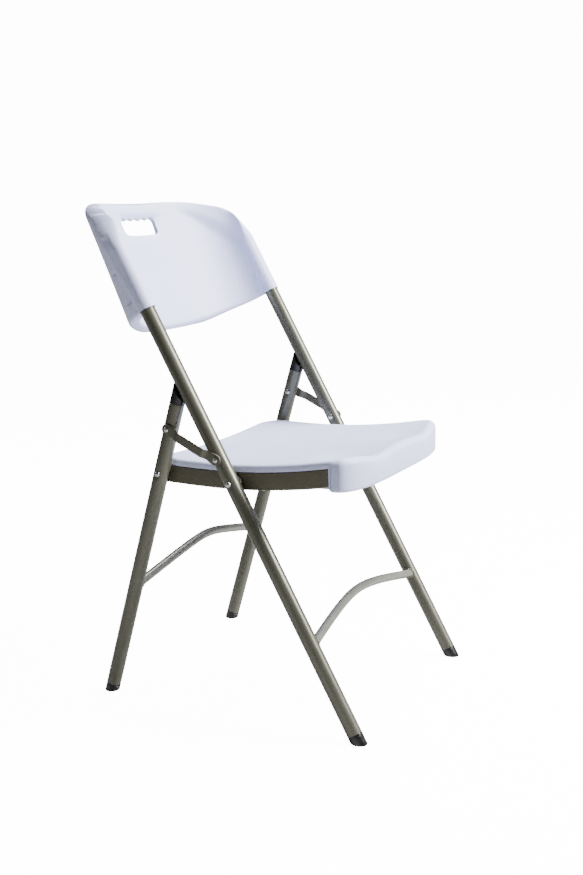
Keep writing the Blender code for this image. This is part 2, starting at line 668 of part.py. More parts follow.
def build_back_panel():
    outline = back_outline(back_top)
    rear_outline = back_outline(back_rear_top)
    angles = (0.0, 9.0, 18.0, 27.0, 36.0, 45.0, 54.0, 62.0, 70.0, 77.0, 83.0, 88.0)
    front_half = [BACK_CREASE_X * math.sin(math.radians(a)) for a in angles]
    angles = (178.0, 155.0, 130.0, 105.0, 80.0, 55.0, 30.0, 12.0, 0.0)
    front_half += [TUBE_X + SLEEVE_R * math.cos(math.radians(a)) for a in angles]
    angles = (0.0, 9.0, 18.0, 27.0, 36.0, 45.0, 54.0, 61.0, 67.0, 72.0, 75.5)
    rear_half = [BACK_REAR_X * math.sin(math.radians(a)) for a in angles]
    angles = (88.0, 80.0, 73.0, 66.0, 57.0, 47.0, 36.0, 25.0, 12.0, 0.0)
    rear_half += [TUBE_X + SLEEVE_R * math.cos(math.radians(a)) for a in angles]
    shares = (0.0, 0.010, 0.030, 0.20, 0.38, 0.54, 0.66, 0.75, 0.82, 0.88, 0.93, 0.968, 0.99, 1.0)
    one = []
    two = []
    for share in shares:
        front = []
        rear = []
        for x in both_sides(front_half):
            low = back_bottom(x, BACK_BOTTOM_S)
            s = low + (back_top(x) - low) * share
            distance = outline_distance(outline, x, s)
            plain = 1.0 - smoothstep((abs(x) - 0.150) / 0.036)
            rim = edge_drop(BACK_EDGE_R, min(distance, s - low)) * plain
            front.append(back_point(x, back_front_n(x, s, distance) + rim, s))
        for x in both_sides(rear_half):
            low = back_bottom(x, BACK_REAR_BOTTOM_S)
            s = low + (back_rear_top(x) - low) * share
            distance = outline_distance(rear_outline, x, s)
            rear.append(back_point(x, back_rear_n(x, s, distance), s))
        one.append(front)
        two.append(rear)
    bm = bmesh.new()
    add_sheet(bm, one, two)
    back = mesh_object("back_panel", bm, CHAIR)
    for label, side in SIDES:
        low = tube_point(side, FRONT_FLOOR, FRONT_UP, BACK_BOTTOM_S - 0.02)
        high = tube_point(side, FRONT_FLOOR, FRONT_UP, FRONT_TUBE_TOP + 0.001)
        boolean(back, rod_cutter(f"back_sleeve_{label}", low, high, TUBE_R + FIT_GAP, 32))
    boolean(back, handle_cutter())
    boolean(back, cavity_cutter())
    vent_n = back_bulge(BACK_BOTTOM_S) - BACK_THICKNESS / 2
    boolean(back, rod_cutter("back_vent", back_point(0.0, vent_n, BACK_BOTTOM_S - 0.02),
                             back_point(0.0, vent_n, BACK_BOTTOM_S + 0.016), 0.0025, 10))
    for index, s in enumerate(BACK_SCREW_S):
        for label, side in SIDES:
            centre = tube_point(side, FRONT_FLOOR, FRONT_UP, s)
            boolean(back, rod_cutter(f"back_screw_bore_{index}_{label}", centre,
                                     centre + FRONT_BACK * 0.08, 0.0021, 12))
            boolean(back, rod_cutter(f"back_screw_well_{index}_{label}",
                                     centre + FRONT_BACK * BACK_SCREW_SEAT,
                                     centre + FRONT_BACK * 0.08, 0.0050, 16))
    finish(back, WHITE_PLASTIC, back_point(0.0, 0.0, BACK_BOTTOM_S))


def handle_outline(grow_x, grow_s):
    """Hand opening in (x, s): straight lower edge, five finger grips along the top."""
    half = HANDLE_HALF_W + grow_x
    low = HANDLE_S - grow_s
    high = HANDLE_S + HANDLE_HEIGHT + grow_s
    radius = 0.010 + grow_s
    points = []
    for centre_x, centre_s, begin in ((half - radius, low + radius, -90.0),
                                      (half - radius, high - radius, 0.0)):
        for k in range(5):
            turn = math.radians(begin + 22.5 * k)
            points.append((centre_x + radius * math.cos(turn), centre_s + radius * math.sin(turn)))
    for k in range(1, 32):
        x = (half - radius) * (1.0 - k / 16.0)
        grip = 0.0014 * (math.cos(x / 0.0034) - 1.0) * smoothstep((half - radius - abs(x)) / 0.008)
        points.append((x, high + grip))
    for centre_x, centre_s, begin in ((-half + radius, high - radius, 90.0),
                                      (-half + radius, low + radius, 180.0)):
        for k in range(5):
            turn = math.radians(begin + 22.5 * k)
            points.append((centre_x + radius * math.cos(turn), centre_s + radius * math.sin(turn)))
    return points


def handle_cutter():
    """Loft through the back that flares towards its front face."""
    bm = bmesh.new()
    rings = []
    for depth, grow_x, grow_s in ((-0.040, 0.021, 0.0075), (-0.0145, 0.019, 0.0065),
                                  (-0.010, 0.010, 0.0030), (-0.004, 0.001, 0.0005),
                                  (0.020, 0.0, 0.0)):
        rings.append([bm.verts.new(back_point(x, back_bulge(s) * full_arch(x) + depth, s))
                      for x, s in handle_outline(grow_x, grow_s)])
    count = len(rings[0])
    for low, high in zip(rings[:-1], rings[1:]):
        for k in range(count):
            nxt = (k + 1) % count
            bm.faces.new((low[k], low[nxt], high[nxt], high[k]))
    bm.faces.new(rings[0])
    bm.faces.new(rings[-1])
    return cutter_object("back_handle", bm)


def cavity_cutter():
    xs = np.linspace(-0.158, 0.158, 13)
    rows = np.linspace(BACK_BOTTOM_S + 0.010, 0.914, 5)
    one = []
    two = []
    for s in rows:
        one.append([back_point(x, back_front_n(x, s, 1.0) + BACK_WALL + 0.001, s) for x in xs])
        two.append([back_point(x, back_rear_n(x, s, 1.0) - BACK_WALL - 0.001, s) for x in xs])
    bm = bmesh.new()
    add_sheet(bm, one, two)
    return cutter_object("back_cavity", bm)


# --- assembly ---------------------------------------------------------------------------
clear_scene()
CHAIR = make_collection("folding_chair")
CUTTERS = make_collection("folding_chair_cutters")
STEEL_PAINT = make_material("taupe_tube_paint", (0.205, 0.200, 0.170), 0.38, 0.35)
RAIL_PAINT = make_material("taupe_rail_paint", (0.120, 0.112, 0.082), 0.45, 0.25)
STRAP_PAINT = make_material("taupe_strap_paint", (0.170, 0.163, 0.132), 0.42, 0.30)
WHITE_PLASTIC = make_material("white_plastic", (0.800, 0.810, 0.870), 0.50)
BLACK_PLASTIC = make_material("black_plastic", (0.018, 0.018, 0.020), 0.32)
RIVET_STEEL = make_material("rivet_steel", (0.620, 0.620, 0.610), 0.25, 1.0)
SCREW_STEEL = make_material("screw_steel", (0.520, 0.520, 0.510), 0.32, 1.0)
NYLON = make_material("natural_nylon", (0.700, 0.690, 0.640), 0.50)

CROSS = Vector((1.0, 0.0, 0.0))
HOLE_R = RIVET_R + FIT_GAP
THROUGH = (-0.03, 0.03)
FRONT_HOLES = [(STRAP_FRONT_S, HOLE_R, CROSS, THROUGH), (SEAT_FRONT_S, HOLE_R, CROSS, THROUGH)]
FRONT_HOLES += [(s, 0.0021, FRONT_BACK, (0.0, 0.03)) for s in BACK_SCREW_S]
REAR_HOLES = [(STRAP_REAR_S, HOLE_R, CROSS, THROUGH), (SEAT_REAR_S, HOLE_R, CROSS, THROUGH)]
SEAT_AXIS = SEAT_FRONT.copy()
REAR_AXIS = STRAP_REAR.copy()
HEAD_ON_TUBE = TUBE_X + TUBE_R + FIT_GAP
HEAD_ON_STRAP = HEAD_ON_TUBE + STRAP_T + FIT_GAP
TAIL_ON_TUBE = TUBE_X - TUBE_R - FIT_GAP
TAIL_ON_RAIL = RAIL_OUT_X - RAIL_T - FIT_GAP

for LABEL, SIDE in SIDES:
    build_tube(f"front_tube_{LABEL}", SIDE, FRONT_FLOOR, FRONT_UP, FRONT_TUBE_TOP, FRONT_HOLES,
               FRONT_FLOOR)
    build_tube(f"rear_tube_{LABEL}", SIDE, REAR_FLOOR, REAR_UP, REAR_TUBE_TOP, REAR_HOLES, REAR_AXIS)
    build_foot(f"front_foot_{LABEL}", SIDE, FRONT_FLOOR, FRONT_UP, FRONT_FLOOR)
    build_foot(f"rear_foot_{LABEL}", SIDE, REAR_FLOOR, REAR_UP, REAR_AXIS)
    build_rear_cap(f"rear_tube_cap_{LABEL}", SIDE, REAR_AXIS)
    build_strap(f"link_strap_{LABEL}", SIDE)
    build_rivet(f"strap_front_rivet_{LABEL}", SIDE, STRAP_FRONT, HEAD_ON_STRAP, TAIL_ON_TUBE,
                STRAP_FRONT)
    build_rivet(f"strap_rear_rivet_{LABEL}", SIDE, STRAP_REAR, HEAD_ON_STRAP, TAIL_ON_TUBE,
                REAR_AXIS)
    build_rivet(f"seat_front_rivet_{LABEL}", SIDE, SEAT_FRONT, HEAD_ON_TUBE, TAIL_ON_RAIL,
                SEAT_AXIS)
    build_rivet(f"seat_rear_rivet_{LABEL}", SIDE, SEAT_REAR, HEAD_ON_TUBE, TAIL_ON_TUBE, REAR_AXIS)
    build_spacer(f"seat_spacer_{LABEL}", SIDE, SEAT_FRONT, SEAT_AXIS)
    build_rail(f"seat_rail_{LABEL}", SIDE)
    for INDEX, SCREW_Y in enumerate(RAIL_SCREW_Y):
        BELOW = Vector((SIDE * RAIL_SCREW_X, SCREW_Y, rail_top(SCREW_Y) - RAIL_H))
        BELOW += rail_down(SCREW_Y) * FIT_GAP
        build_screw(f"rail_screw_{LABEL}_{INDEX + 1}", BELOW, rail_down(SCREW_Y), 0.0042, 0.0022,
                    0.0018, 0.014, SEAT_AXIS)
    for INDEX, SCREW_S in enumerate(BACK_SCREW_S):
        SEATED = tube_point(SIDE, FRONT_FLOOR, FRONT_UP, SCREW_S)
        SEATED += FRONT_BACK * (BACK_SCREW_SEAT + FIT_GAP)
        build_screw(f"back_screw_{LABEL}_{INDEX + 1}", SEATED, FRONT_BACK.copy(), 0.0042, 0.0022,
                    0.0018, 0.0115, SEATED)

build_crossbar("front_crossbar", FRONT_FLOOR, FRONT_UP, -FRONT_BACK, FRONT_BAR_END_Z,
               FRONT_BAR_RISE, FRONT_BAR_BEND, FRONT_FLOOR)
REAR_FORWARD = Vector((0.0, -math.cos(REAR_LEAN), -math.sin(REAR_LEAN)))
build_crossbar("rear_crossbar", REAR_FLOOR, REAR_UP, REAR_FORWARD, REAR_BAR_END_Z, REAR_BAR_RISE,
               REAR_BAR_BEND, REAR_AXIS)
build_seat_panel()
build_back_panel()
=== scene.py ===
"""Fine surface, materials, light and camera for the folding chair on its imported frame."""
import json
import math

import bmesh
import bpy
import numpy as np
from mathutils import Matrix, Vector

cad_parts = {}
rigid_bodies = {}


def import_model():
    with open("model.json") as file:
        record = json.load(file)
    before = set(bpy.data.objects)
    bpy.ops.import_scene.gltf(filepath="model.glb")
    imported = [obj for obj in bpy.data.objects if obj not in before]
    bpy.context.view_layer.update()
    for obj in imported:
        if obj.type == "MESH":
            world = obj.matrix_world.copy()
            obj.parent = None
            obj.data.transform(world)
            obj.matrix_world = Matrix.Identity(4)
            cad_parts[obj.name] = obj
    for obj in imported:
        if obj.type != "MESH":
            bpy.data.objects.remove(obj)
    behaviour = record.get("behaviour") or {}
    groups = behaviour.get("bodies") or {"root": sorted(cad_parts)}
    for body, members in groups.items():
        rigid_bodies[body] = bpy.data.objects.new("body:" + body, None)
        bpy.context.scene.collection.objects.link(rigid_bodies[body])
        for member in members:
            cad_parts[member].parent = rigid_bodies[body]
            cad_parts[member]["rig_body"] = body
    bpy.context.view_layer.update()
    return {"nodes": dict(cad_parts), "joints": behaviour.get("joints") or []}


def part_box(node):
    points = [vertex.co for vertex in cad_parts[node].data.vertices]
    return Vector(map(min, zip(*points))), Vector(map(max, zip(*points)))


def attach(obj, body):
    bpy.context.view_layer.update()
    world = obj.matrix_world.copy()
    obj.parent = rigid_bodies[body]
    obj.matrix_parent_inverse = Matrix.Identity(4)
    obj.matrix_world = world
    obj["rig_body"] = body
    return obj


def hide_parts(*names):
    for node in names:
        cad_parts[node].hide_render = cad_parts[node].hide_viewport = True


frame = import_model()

SIDES = (("right", -1.0), ("left", 1.0))
GAP = 0.0003

# --- places and sizes read from the frame -------------------------------------------------
JOINTS = {joint["name"]: joint for joint in frame["joints"]}
SEAT_FRONT = Vector(JOINTS["seat_fold"]["pos_m"])
STRAP_FRONT = Vector(JOINTS["link_right_swing"]["pos_m"])
STRAP_REAR = Vector(JOINTS["rear_frame_fold"]["pos_m"])
TUBE_LOW, TUBE_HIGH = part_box("front_tube_left")
TUBE_X = (TUBE_LOW.x + TUBE_HIGH.x) / 2
TUBE_R = (TUBE_HIGH.x - TUBE_LOW.x) / 2
REAR_LEAN = math.radians(17.37)
FRONT_UP = (STRAP_FRONT - SEAT_FRONT).normalized()
FRONT_BACK = Vector((0.0, FRONT_UP.z, -FRONT_UP.y))
REAR_UP = Vector((0.0, -math.sin(REAR_LEAN), math.cos(REAR_LEAN)))
FRONT_FLOOR = SEAT_FRONT - FRONT_UP * (SEAT_FRONT.z / FRONT_UP.z)
REAR_FLOOR = STRAP_REAR - REAR_UP * (STRAP_REAR.z / REAR_UP.z)
REAR_SEAT_PIVOT_S = 0.42320
SEAT_REAR = REAR_FLOOR + REAR_UP * REAR_SEAT_PIVOT_S
ACROSS = Vector((1.0, 0.0, 0.0))
FOOT_HEIGHT = 0.016
FRONT_TOP = 0.866
REAR_TOP = 0.5465
TUBE_SIDES = 64
TUBE_ROWS = 90
PRESS_DEPTH = 0.0007
PRESS_FLAT = 0.005
PRESS_FADE = 0.009
PLUG_GROOVE = 0.0003
RIVET_R = 0.0030
HEAD_R = 0.0047
HEAD_H = 0.0026
TAIL_H = 0.0012

# --- crossbars ------------------------------------------------------------------------------
# Each shape is the height of the ends, the rise in the middle, and how round the bend is.
BAR_R = 0.0075
BAR_FORWARD = 0.0020
BAR_HALF = TUBE_X - 0.002
FRONT_BAR = (0.1485, 0.0294, 0.40)
REAR_BAR = (0.203, 0.039, 0.20)
WELD_R = 0.0017
WELD_PATH_R = BAR_R + 0.0004

# --- straps ---------------------------------------------------------------------------------
STRAP_T = 0.0024
STRAP_END_R = 0.0090
STRAP_WAIST = 0.00725
STRAP_JOGGLE = 0.0052
KINK_IN = 0.016
KINK_OUT = 0.026

# --- seat rails and seat panel ----------------------------------------------------------------
RAIL_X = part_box("seat_rail_left")[1].x
RAIL_T = 0.0020
RAIL_H = 0.0285
RAIL_FLANGE = 0.0180
RAIL_FRONT_Y = FRONT_FLOOR.y + 0.0552
RAIL_REAR_Y = FRONT_FLOOR.y + 0.3690
RAIL_LOW_Y = FRONT_FLOOR.y + 0.2704
RAIL_LOW_Z = 0.4120
RAIL_SCREW_X = 0.1755
RAIL_SCREW_Y = (RAIL_FRONT_Y + 0.040, RAIL_FRONT_Y + 0.120, RAIL_FRONT_Y + 0.262)
SEAT_HALF_W = 0.1864
SEAT_BODY_X = 0.1811
SEAT_FRONT_Y = FRONT_FLOOR.y + 0.0035
SEAT_BOW = 0.035
SEAT_REAR_Y = FRONT_FLOOR.y + 0.3704
SEAT_LIP_H = 0.0130
SEAT_BLOCK_Y = FRONT_FLOOR.y + 0.0542
SEAT_BLOCK_Z = 0.3962
SEAT_DISH = 0.009
SEAT_DISH_X = 0.176
DIMPLE_PITCH = 0.052
DIMPLE_DEPTH = 0.007
THIGH_DIP = 0.008
THIGH_DIP_X = 0.095

# --- back panel -------------------------------------------------------------------------------
BACK_BOTTOM_S = 0.7620
BACK_REAR_BOTTOM_S = 0.7603
SLEEVE_END_S = 0.7655
BACK_CORNER_S = 0.874
BACK_CORNER_RISE = 0.1203
BACK_TOP_DEPTH = 0.070
BACK_BULGE = 0.087
BACK_BULGE_GAIN = 0.147
BACK_GAIN_S = 0.923
BACK_THICKNESS = 0.014
BACK_CREASE_X = 0.1865
BACK_REAR_X = 0.2060
BACK_REAR_POWER = 2.20
BACK_SHOULDER = 0.025
BACK_JOIN = 0.003
SLEEVE_R = 0.0145
SLEEVE_WIDEN = 0.085
BACK_EDGE_R = 0.0065
BACK_SCREW_S = (0.792, 0.845)
BACK_SCREW_SEAT = 0.0155
HANDLE_S = 0.934
HANDLE_HEIGHT = 0.0325
HANDLE_HALF_W = 0.050

# --- studio -----------------------------------------------------------------------------------
BACKDROP_SEEN = 14.0
WORLD_LIT = 0.10
FLOOR_LIT = 0.0
FLOOR_SIZE = 14.0
CAMERA_YAW = math.radians(61.167)
CAMERA_PITCH = math.radians(11.439)
CAMERA_ROLL = math.radians(-1.286)
CAMERA_FROM_FEET = Vector((-1.7323, -0.7339, 0.8354))
CAMERA_LENS = 47.89


# --- materials ----------------------------------------------------------------------------------
class Surface:
    """A Principled material whose roughness, colour and bump come from procedural noise."""

    def __init__(self, name, colour, roughness, metallic=0.0):
        self.material = bpy.data.materials.new(name)
        self.material.use_nodes = True
        self.nodes = self.material.node_tree.nodes
        self.links = self.material.node_tree.links
        self.shader = self.nodes["Principled BSDF"]
        self.shader.inputs["Base Color"].default_value = (*colour, 1.0)
        self.shader.inputs["Roughness"].default_value = roughness
        self.shader.inputs["Metallic"].default_value = metallic
        self.colour = colour
        self.roughness = roughness
        self.coords = self.nodes.new("ShaderNodeTexCoord")
        self.normal = None

    def noise(self, scale, detail):
        noise = self.nodes.new("ShaderNodeTexNoise")
        noise.inputs["Scale"].default_value = scale
        noise.inputs["Detail"].default_value = detail
        self.links.new(self.coords.outputs["Object"], noise.inputs["Vector"])
        return noise.outputs["Fac"]

    def cells(self, scale):
        cells = self.nodes.new("ShaderNodeTexVoronoi")
        cells.feature = "SMOOTH_F1"
        cells.inputs["Scale"].default_value = scale
        self.links.new(self.coords.outputs["Object"], cells.inputs["Vector"])
        return cells.outputs["Distance"]

    def spread(self, value, low, high, out_low, out_high):
        ramp = self.nodes.new("ShaderNodeMapRange")
        ramp.inputs["From Min"].default_value = low
        ramp.inputs["From Max"].default_value = high
        ramp.inputs["To Min"].default_value = out_low
        ramp.inputs["To Max"].default_value = out_high
        self.links.new(value, ramp.inputs["Value"])
        return ramp.outputs["Result"]

    def vary_roughness(self, value, amount):
        low = self.roughness - amount
        high = self.roughness + amount
        self.links.new(self.spread(value, 0.3, 0.7, low, high), self.shader.inputs["Roughness"])

    def vary_colour(self, value, low, high, other):
        """Blend towards the other colour where value runs from low to high."""
        mix = self.nodes.new("ShaderNodeMix")
        mix.data_type = "RGBA"
        source = self.shader.inputs["Base Color"]
        if source.links:
            self.links.new(source.links[0].from_socket, mix.inputs["A"])
        else:
            mix.inputs["A"].default_value = (*self.colour, 1.0)
        mix.inputs["B"].default_value = (*other, 1.0)
        self.links.new(self.spread(value, low, high, 0.0, 1.0), mix.inputs["Factor"])
        self.links.new(mix.outputs["Result"], source)

    def bump(self, value, distance, strength):
        bump = self.nodes.new("ShaderNodeBump")
        bump.inputs["Strength"].default_value = strength
        bump.inputs["Distance"].default_value = distance
        self.links.new(value, bump.inputs["Height"])
        if self.normal:
            self.links.new(self.normal, bump.inputs["Normal"])
        self.normal = bump.outputs["Normal"]
        self.links.new(self.normal, self.shader.inputs["Normal"])

    def edge(self):
        """Where the surface is convex, as on an edge that rubs."""
        return self.nodes.new("ShaderNodeNewGeometry").outputs["Pointiness"]


def tube_paint(name, colour, roughness, metallic):
    """Satin powder coat with metal flake: orange peel, faint mottling, thin on edges."""
    surface = Surface(name, colour, roughness, metallic)
    light = tuple(1.20 * c + 0.01 for c in colour)
    dark = tuple(0.92 * c for c in colour)
    surface.vary_colour(surface.noise(1400.0, 2.0), 0.55, 0.72, light)
    surface.vary_colour(surface.noise(9.0, 3.0), 0.50, 0.80, dark)
    surface.vary_roughness(surface.noise(45.0, 4.0), 0.045)
    surface.bump(surface.noise(420.0, 2.0), 0.00006, 0.55)
    surface.bump(surface.noise(2600.0, 1.0), 0.00001, 0.35)
    surface.vary_colour(surface.edge(), 0.56, 0.66, tuple(min(c * 1.9, 1.0) for c in colour))
    return surface.material


def moulded_plastic(name, colour, roughness, grain, depth):
    """Blow-moulded polyethylene with a pebble grain."""
    surface = Surface(name, colour, roughness)
    shade = tuple(0.955 * c for c in colour)
    surface.vary_colour(surface.noise(9.0, 5.0), 0.42, 0.72, shade)
    surface.vary_roughness(surface.noise(30.0, 5.0), 0.05)
    surface.bump(surface.cells(grain), depth, 0.55)
    surface.bump(surface.noise(grain * 1.9, 3.0), depth * 0.7, 0.5)
    surface.bump(surface.noise(230.0, 2.0), 0.0006, 0.40)
    surface.bump(surface.noise(14.0, 2.0), 0.0006, 0.25)
    surface.shader.inputs["IOR"].default_value = 1.5
    surface.shader.inputs["Subsurface Weight"].default_value = 0.03
    surface.shader.inputs["Subsurface Radius"].default_value = (0.006, 0.006, 0.007)
    return surface.material


def black_plastic(name):
    surface = Surface(name, (0.006, 0.006, 0.007), 0.30)
    surface.vary_colour(surface.noise(60.0, 4.0), 0.50, 0.80, (0.012, 0.012, 0.012))
    surface.vary_roughness(surface.noise(80.0, 4.0), 0.09)
    surface.bump(surface.noise(700.0, 2.0), 0.00004, 0.5)
    surface.vary_colour(surface.edge(), 0.57, 0.68, (0.040, 0.040, 0.040))
    return surface.material


def plated_steel(name, colour, roughness):
    """Zinc-plated steel: fine turning marks, small dull spots."""
    surface = Surface(name, colour, roughness, 1.0)
    surface.vary_colour(surface.noise(260.0, 4.0), 0.52, 0.80, tuple(0.72 * c for c in colour))
    surface.vary_roughness(surface.noise(500.0, 3.0), 0.08)
    surface.bump(surface.noise(1500.0, 2.0), 0.00003, 0.5)
    return surface.material


def nylon(name):
    surface = Surface(name, (0.70, 0.69, 0.64), 0.45)
    surface.vary_colour(surface.noise(120.0, 3.0), 0.45, 0.75, (0.62, 0.60, 0.54))
    surface.vary_roughness(surface.noise(200.0, 3.0), 0.06)
    surface.bump(surface.noise(900.0, 2.0), 0.00004, 0.5)
    return surface.material


TUBE_PAINT = tube_paint("tube_paint", (0.118, 0.117, 0.089), 0.33, 0.45)
# Crossbar paint: a greyer copy of the tube paint, made lighter as painted light for the light falling
# on the bars' tops.
BAR_PAINT_WITH_PAINTED_TOP_LIGHT = tube_paint("bar_paint_with_painted_top_light", (0.200, 0.203, 0.172), 0.36, 0.40)
RAIL_PAINT = tube_paint("rail_paint", (0.092, 0.084, 0.053), 0.46, 0.25)
STRAP_PAINT = tube_paint("strap_paint", (0.110, 0.105, 0.076), 0.42, 0.30)
WHITE_PLASTIC = moulded_plastic("white_moulded_plastic", (0.660, 0.705, 0.985), 0.44, 650.0,
                                0.00030)
BLACK_PLASTIC = black_plastic("black_moulded_plastic")
RIVET_STEEL = plated_steel("rivet_plate", (0.56, 0.56, 0.54), 0.24)
SCREW_STEEL = plated_steel("screw_plate", (0.58, 0.58, 0.56), 0.30)
NYLON = nylon("spacer_nylon")


# --- mesh helpers ---------------------------------------------------------------------------------
def smoothstep(value):
    value = np.clip(value, 0.0, 1.0)
    return value * value * (3.0 - 2.0 * value)


def new_object(name, mesh):
    obj = bpy.data.objects.new(name, mesh)
    bpy.context.scene.collection.objects.link(obj)
    return obj


def from_bmesh(name, bm):
    bmesh.ops.recalc_face_normals(bm, faces=bm.faces)
    mesh = bpy.data.meshes.new(name)
    bm.to_mesh(mesh)
    bm.free()
    return new_object(name, mesh)


def angles(count):
    return [2.0 * math.pi * k / count for k in range(count)]


def circle(centre, one, two, radius, count):
    """Points round a centre in the plane of two unit vectors."""
    return [centre + one * (radius * math.cos(angle)) + two * (radius * math.sin(angle))
            for angle in angles(count)]


def placed(start, direction):
    """Matrix that moves the origin to start and turns +Z to the direction."""
    turn = Vector((0.0, 0.0, 1.0)).rotation_difference(direction.normalized())
    return Matrix.Translation(start) @ turn.to_matrix().to_4x4()


def loft(name, rings, caps=True):
    """Body through rings of points, with flat caps unless the rings close it themselves."""
    count = len(rings[0])
    points = [tuple(p) for ring in rings for p in ring]
    faces = []
    for j in range(len(rings) - 1):
        for k in range(count):
            nxt = (k + 1) % count
            low = j * count
            high = low + count
            faces.append((low + k, low + nxt, high + nxt, high + k))
    if caps:
        last = (len(rings) - 1) * count
        faces.append(tuple(range(count - 1, -1, -1)))
        faces.append(tuple(range(last, last + count)))
    mesh = bpy.data.meshes.new(name)
    mesh.from_pydata(points, [], faces)
    obj = new_object(name, mesh)
    fix_normals(obj)
    return obj


def fix_normals(obj):
    bm = bmesh.new()
    bm.from_mesh(obj.data)
    bmesh.ops.remove_doubles(bm, verts=bm.verts, dist=0.000005)
    bmesh.ops.recalc_face_normals(bm, faces=bm.faces)
    bm.to_mesh(obj.data)
    bm.free()


def sheet(name, one, two):
    """Closed body between two grids of points, arrays of shape (rows, columns, 3)."""
    rows, cols = one.shape[:2]
    points = np.concatenate([one.reshape(-1, 3), two.reshape(-1, 3)])
    front = np.arange(rows * cols).reshape(rows, cols)
    back = front + rows * cols
    faces = []
    for j in range(rows - 1):
        for i in range(cols - 1):
            faces.append((front[j, i], front[j, i + 1], front[j + 1, i + 1], front[j + 1, i]))
            faces.append((back[j, i], back[j + 1, i], back[j + 1, i + 1], back[j, i + 1]))
        faces.append((front[j, 0], front[j + 1, 0], back[j + 1, 0], back[j, 0]))
        faces.append((front[j, -1], back[j, -1], back[j + 1, -1], front[j + 1, -1]))
    for i in range(cols - 1):
        faces.append((front[0, i], back[0, i], back[0, i + 1], front[0, i + 1]))
        faces.append((front[-1, i], front[-1, i + 1], back[-1, i + 1], back[-1, i]))
    mesh = bpy.data.meshes.new(name)
    mesh.from_pydata(points.tolist(), [], [tuple(int(v) for v in face) for face in faces])
    obj = new_object(name, mesh)
    fix_normals(obj)
    return obj


def turned(name, start, direction, profile, segments, caps=True):
    """Body of revolution from (radius, height) pairs; zero radii close the ends."""
    place = placed(start, direction)
    rings = []
    for radius, height in profile:
        rings.append([place @ Vector((radius * math.cos(angle), radius * math.sin(angle), height))
                      for angle in angles(segments)])
    return loft(name, rings, caps)


def cut(obj, cutter):
    modifier = obj.modifiers.new("cut", "BOOLEAN")
    modifier.operation = "DIFFERENCE"
    modifier.solver = "EXACT"
    modifier.object = cutter
    bpy.context.view_layer.objects.active = obj
    bpy.ops.object.modifier_apply(modifier=modifier.name)
    bpy.data.objects.remove(cutter, do_unlink=True)


def round_edges(obj, width, segments, angle):
    modifier = obj.modifiers.new("edges", "BEVEL")
    modifier.width = width
    modifier.segments = segments
    modifier.limit_method = "ANGLE"
    modifier.angle_limit = math.radians(angle)
    bpy.context.view_layer.objects.active = obj
    bpy.ops.object.modifier_apply(modifier=modifier.name)


def paint(obj, material, sharp):
    obj.data.materials.clear()
    obj.data.materials.append(material)
    obj.data.shade_smooth()
    obj.data.set_sharp_from_angle(angle=math.radians(sharp))


def dress(obj, node, material, sharp=38.0):
    """Give a fine piece its look, and let it stand for its node and ride on its body."""
    paint(obj, material, sharp)
    body = frame["nodes"][node]["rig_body"]
    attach(obj, body)
    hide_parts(node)


def add_trim(obj, body, material, sharp):
    """A small piece, such as a weld bead, that has no node of its own."""
    paint(obj, material, sharp)
    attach(obj, body)


def tube_point(side, floor, up, s):
    """Point on a tube's axis, s along it from the floor."""
    return Vector((side * TUBE_X, 0.0, 0.0)) + floor + up * s


# --- frame ------------------------------------------------------------------------------------
def make_tube(node, side, floor, up, top, pivots):
    """Round tube, pressed slightly flat on both sides where a rivet passes."""
    square = up.cross(ACROSS)
    stations = list(np.linspace(FOOT_HEIGHT + GAP, top, TUBE_ROWS))
    for pivot in pivots:
        stations += [pivot + 0.0015 * k for k in range(-10, 11)]
    stations.sort()
    rings = []
    for s in stations:
        near = min(abs(s - pivot) for pivot in pivots)
        press = PRESS_DEPTH * (1.0 - smoothstep((near - PRESS_FLAT) / PRESS_FADE))
        limit = TUBE_R - float(press)
        ring = []
        for angle in angles(TUBE_SIDES):
            wide = max(min(TUBE_R * math.cos(angle), limit), -limit)
            ring.append(tube_point(side, floor, up, s) + ACROSS * wide
                        + square * (TUBE_R * math.sin(angle)))
        rings.append(ring)
    tube = loft(node, rings)
    dress(tube, node, TUBE_PAINT)


def make_plug(node, side, floor, up, start, plane_point, plane_normal):
    """Black plug on the tube's end, cut off by a plane with a round edge."""
    square = up.cross(ACROSS)
    grow = 1.0 if start < 0.1 else -1.0
    rings = []
    levels = [(TUBE_R - 0.0012, 0.0), (TUBE_R - 0.0004, 0.0), (TUBE_R - 0.00005, 0.0004)]
    levels += [(TUBE_R, 0.0010), (TUBE_R, 0.0026), (TUBE_R - PLUG_GROOVE, 0.0029)]
    levels += [(TUBE_R - PLUG_GROOVE, 0.0034), (TUBE_R, 0.0037)]
    for radius, step in levels:
        centre = tube_point(side, floor, up, start - grow * step)
        rings.append(circle(centre, ACROSS, square, radius, TUBE_SIDES))
    edge = ((0.0, 0.0014), (0.0001, 0.0008), (0.0005, 0.0003), (0.0011, 0.0), (0.004, 0.0))
    for inset, lift in edge:
        ring = []
        centre = tube_point(side, floor, up, 0.0)
        for base in circle(centre, ACROSS, square, TUBE_R - inset, TUBE_SIDES):
            reach = (plane_point + plane_normal * lift - base).dot(plane_normal)
            ring.append(base + up * (reach / up.dot(plane_normal)))
        rings.append(ring)
    plug = loft(node, rings)
    dress(plug, node, BLACK_PLASTIC)


def bar_point(x, floor, up, shape):
    """Point on a crossbar's axis: two straight arms joined by a round bend."""
    end_z, rise, bend = shape
    fall = (math.hypot(x / BAR_HALF, bend) - bend) / (math.hypot(1.0, bend) - bend)
    height = end_z + rise * (1.0 - fall)
    forward = Vector((0.0, -up.z, up.y))
    return Vector((x, 0.0, 0.0)) + floor + up * (height / up.z) + forward * BAR_FORWARD


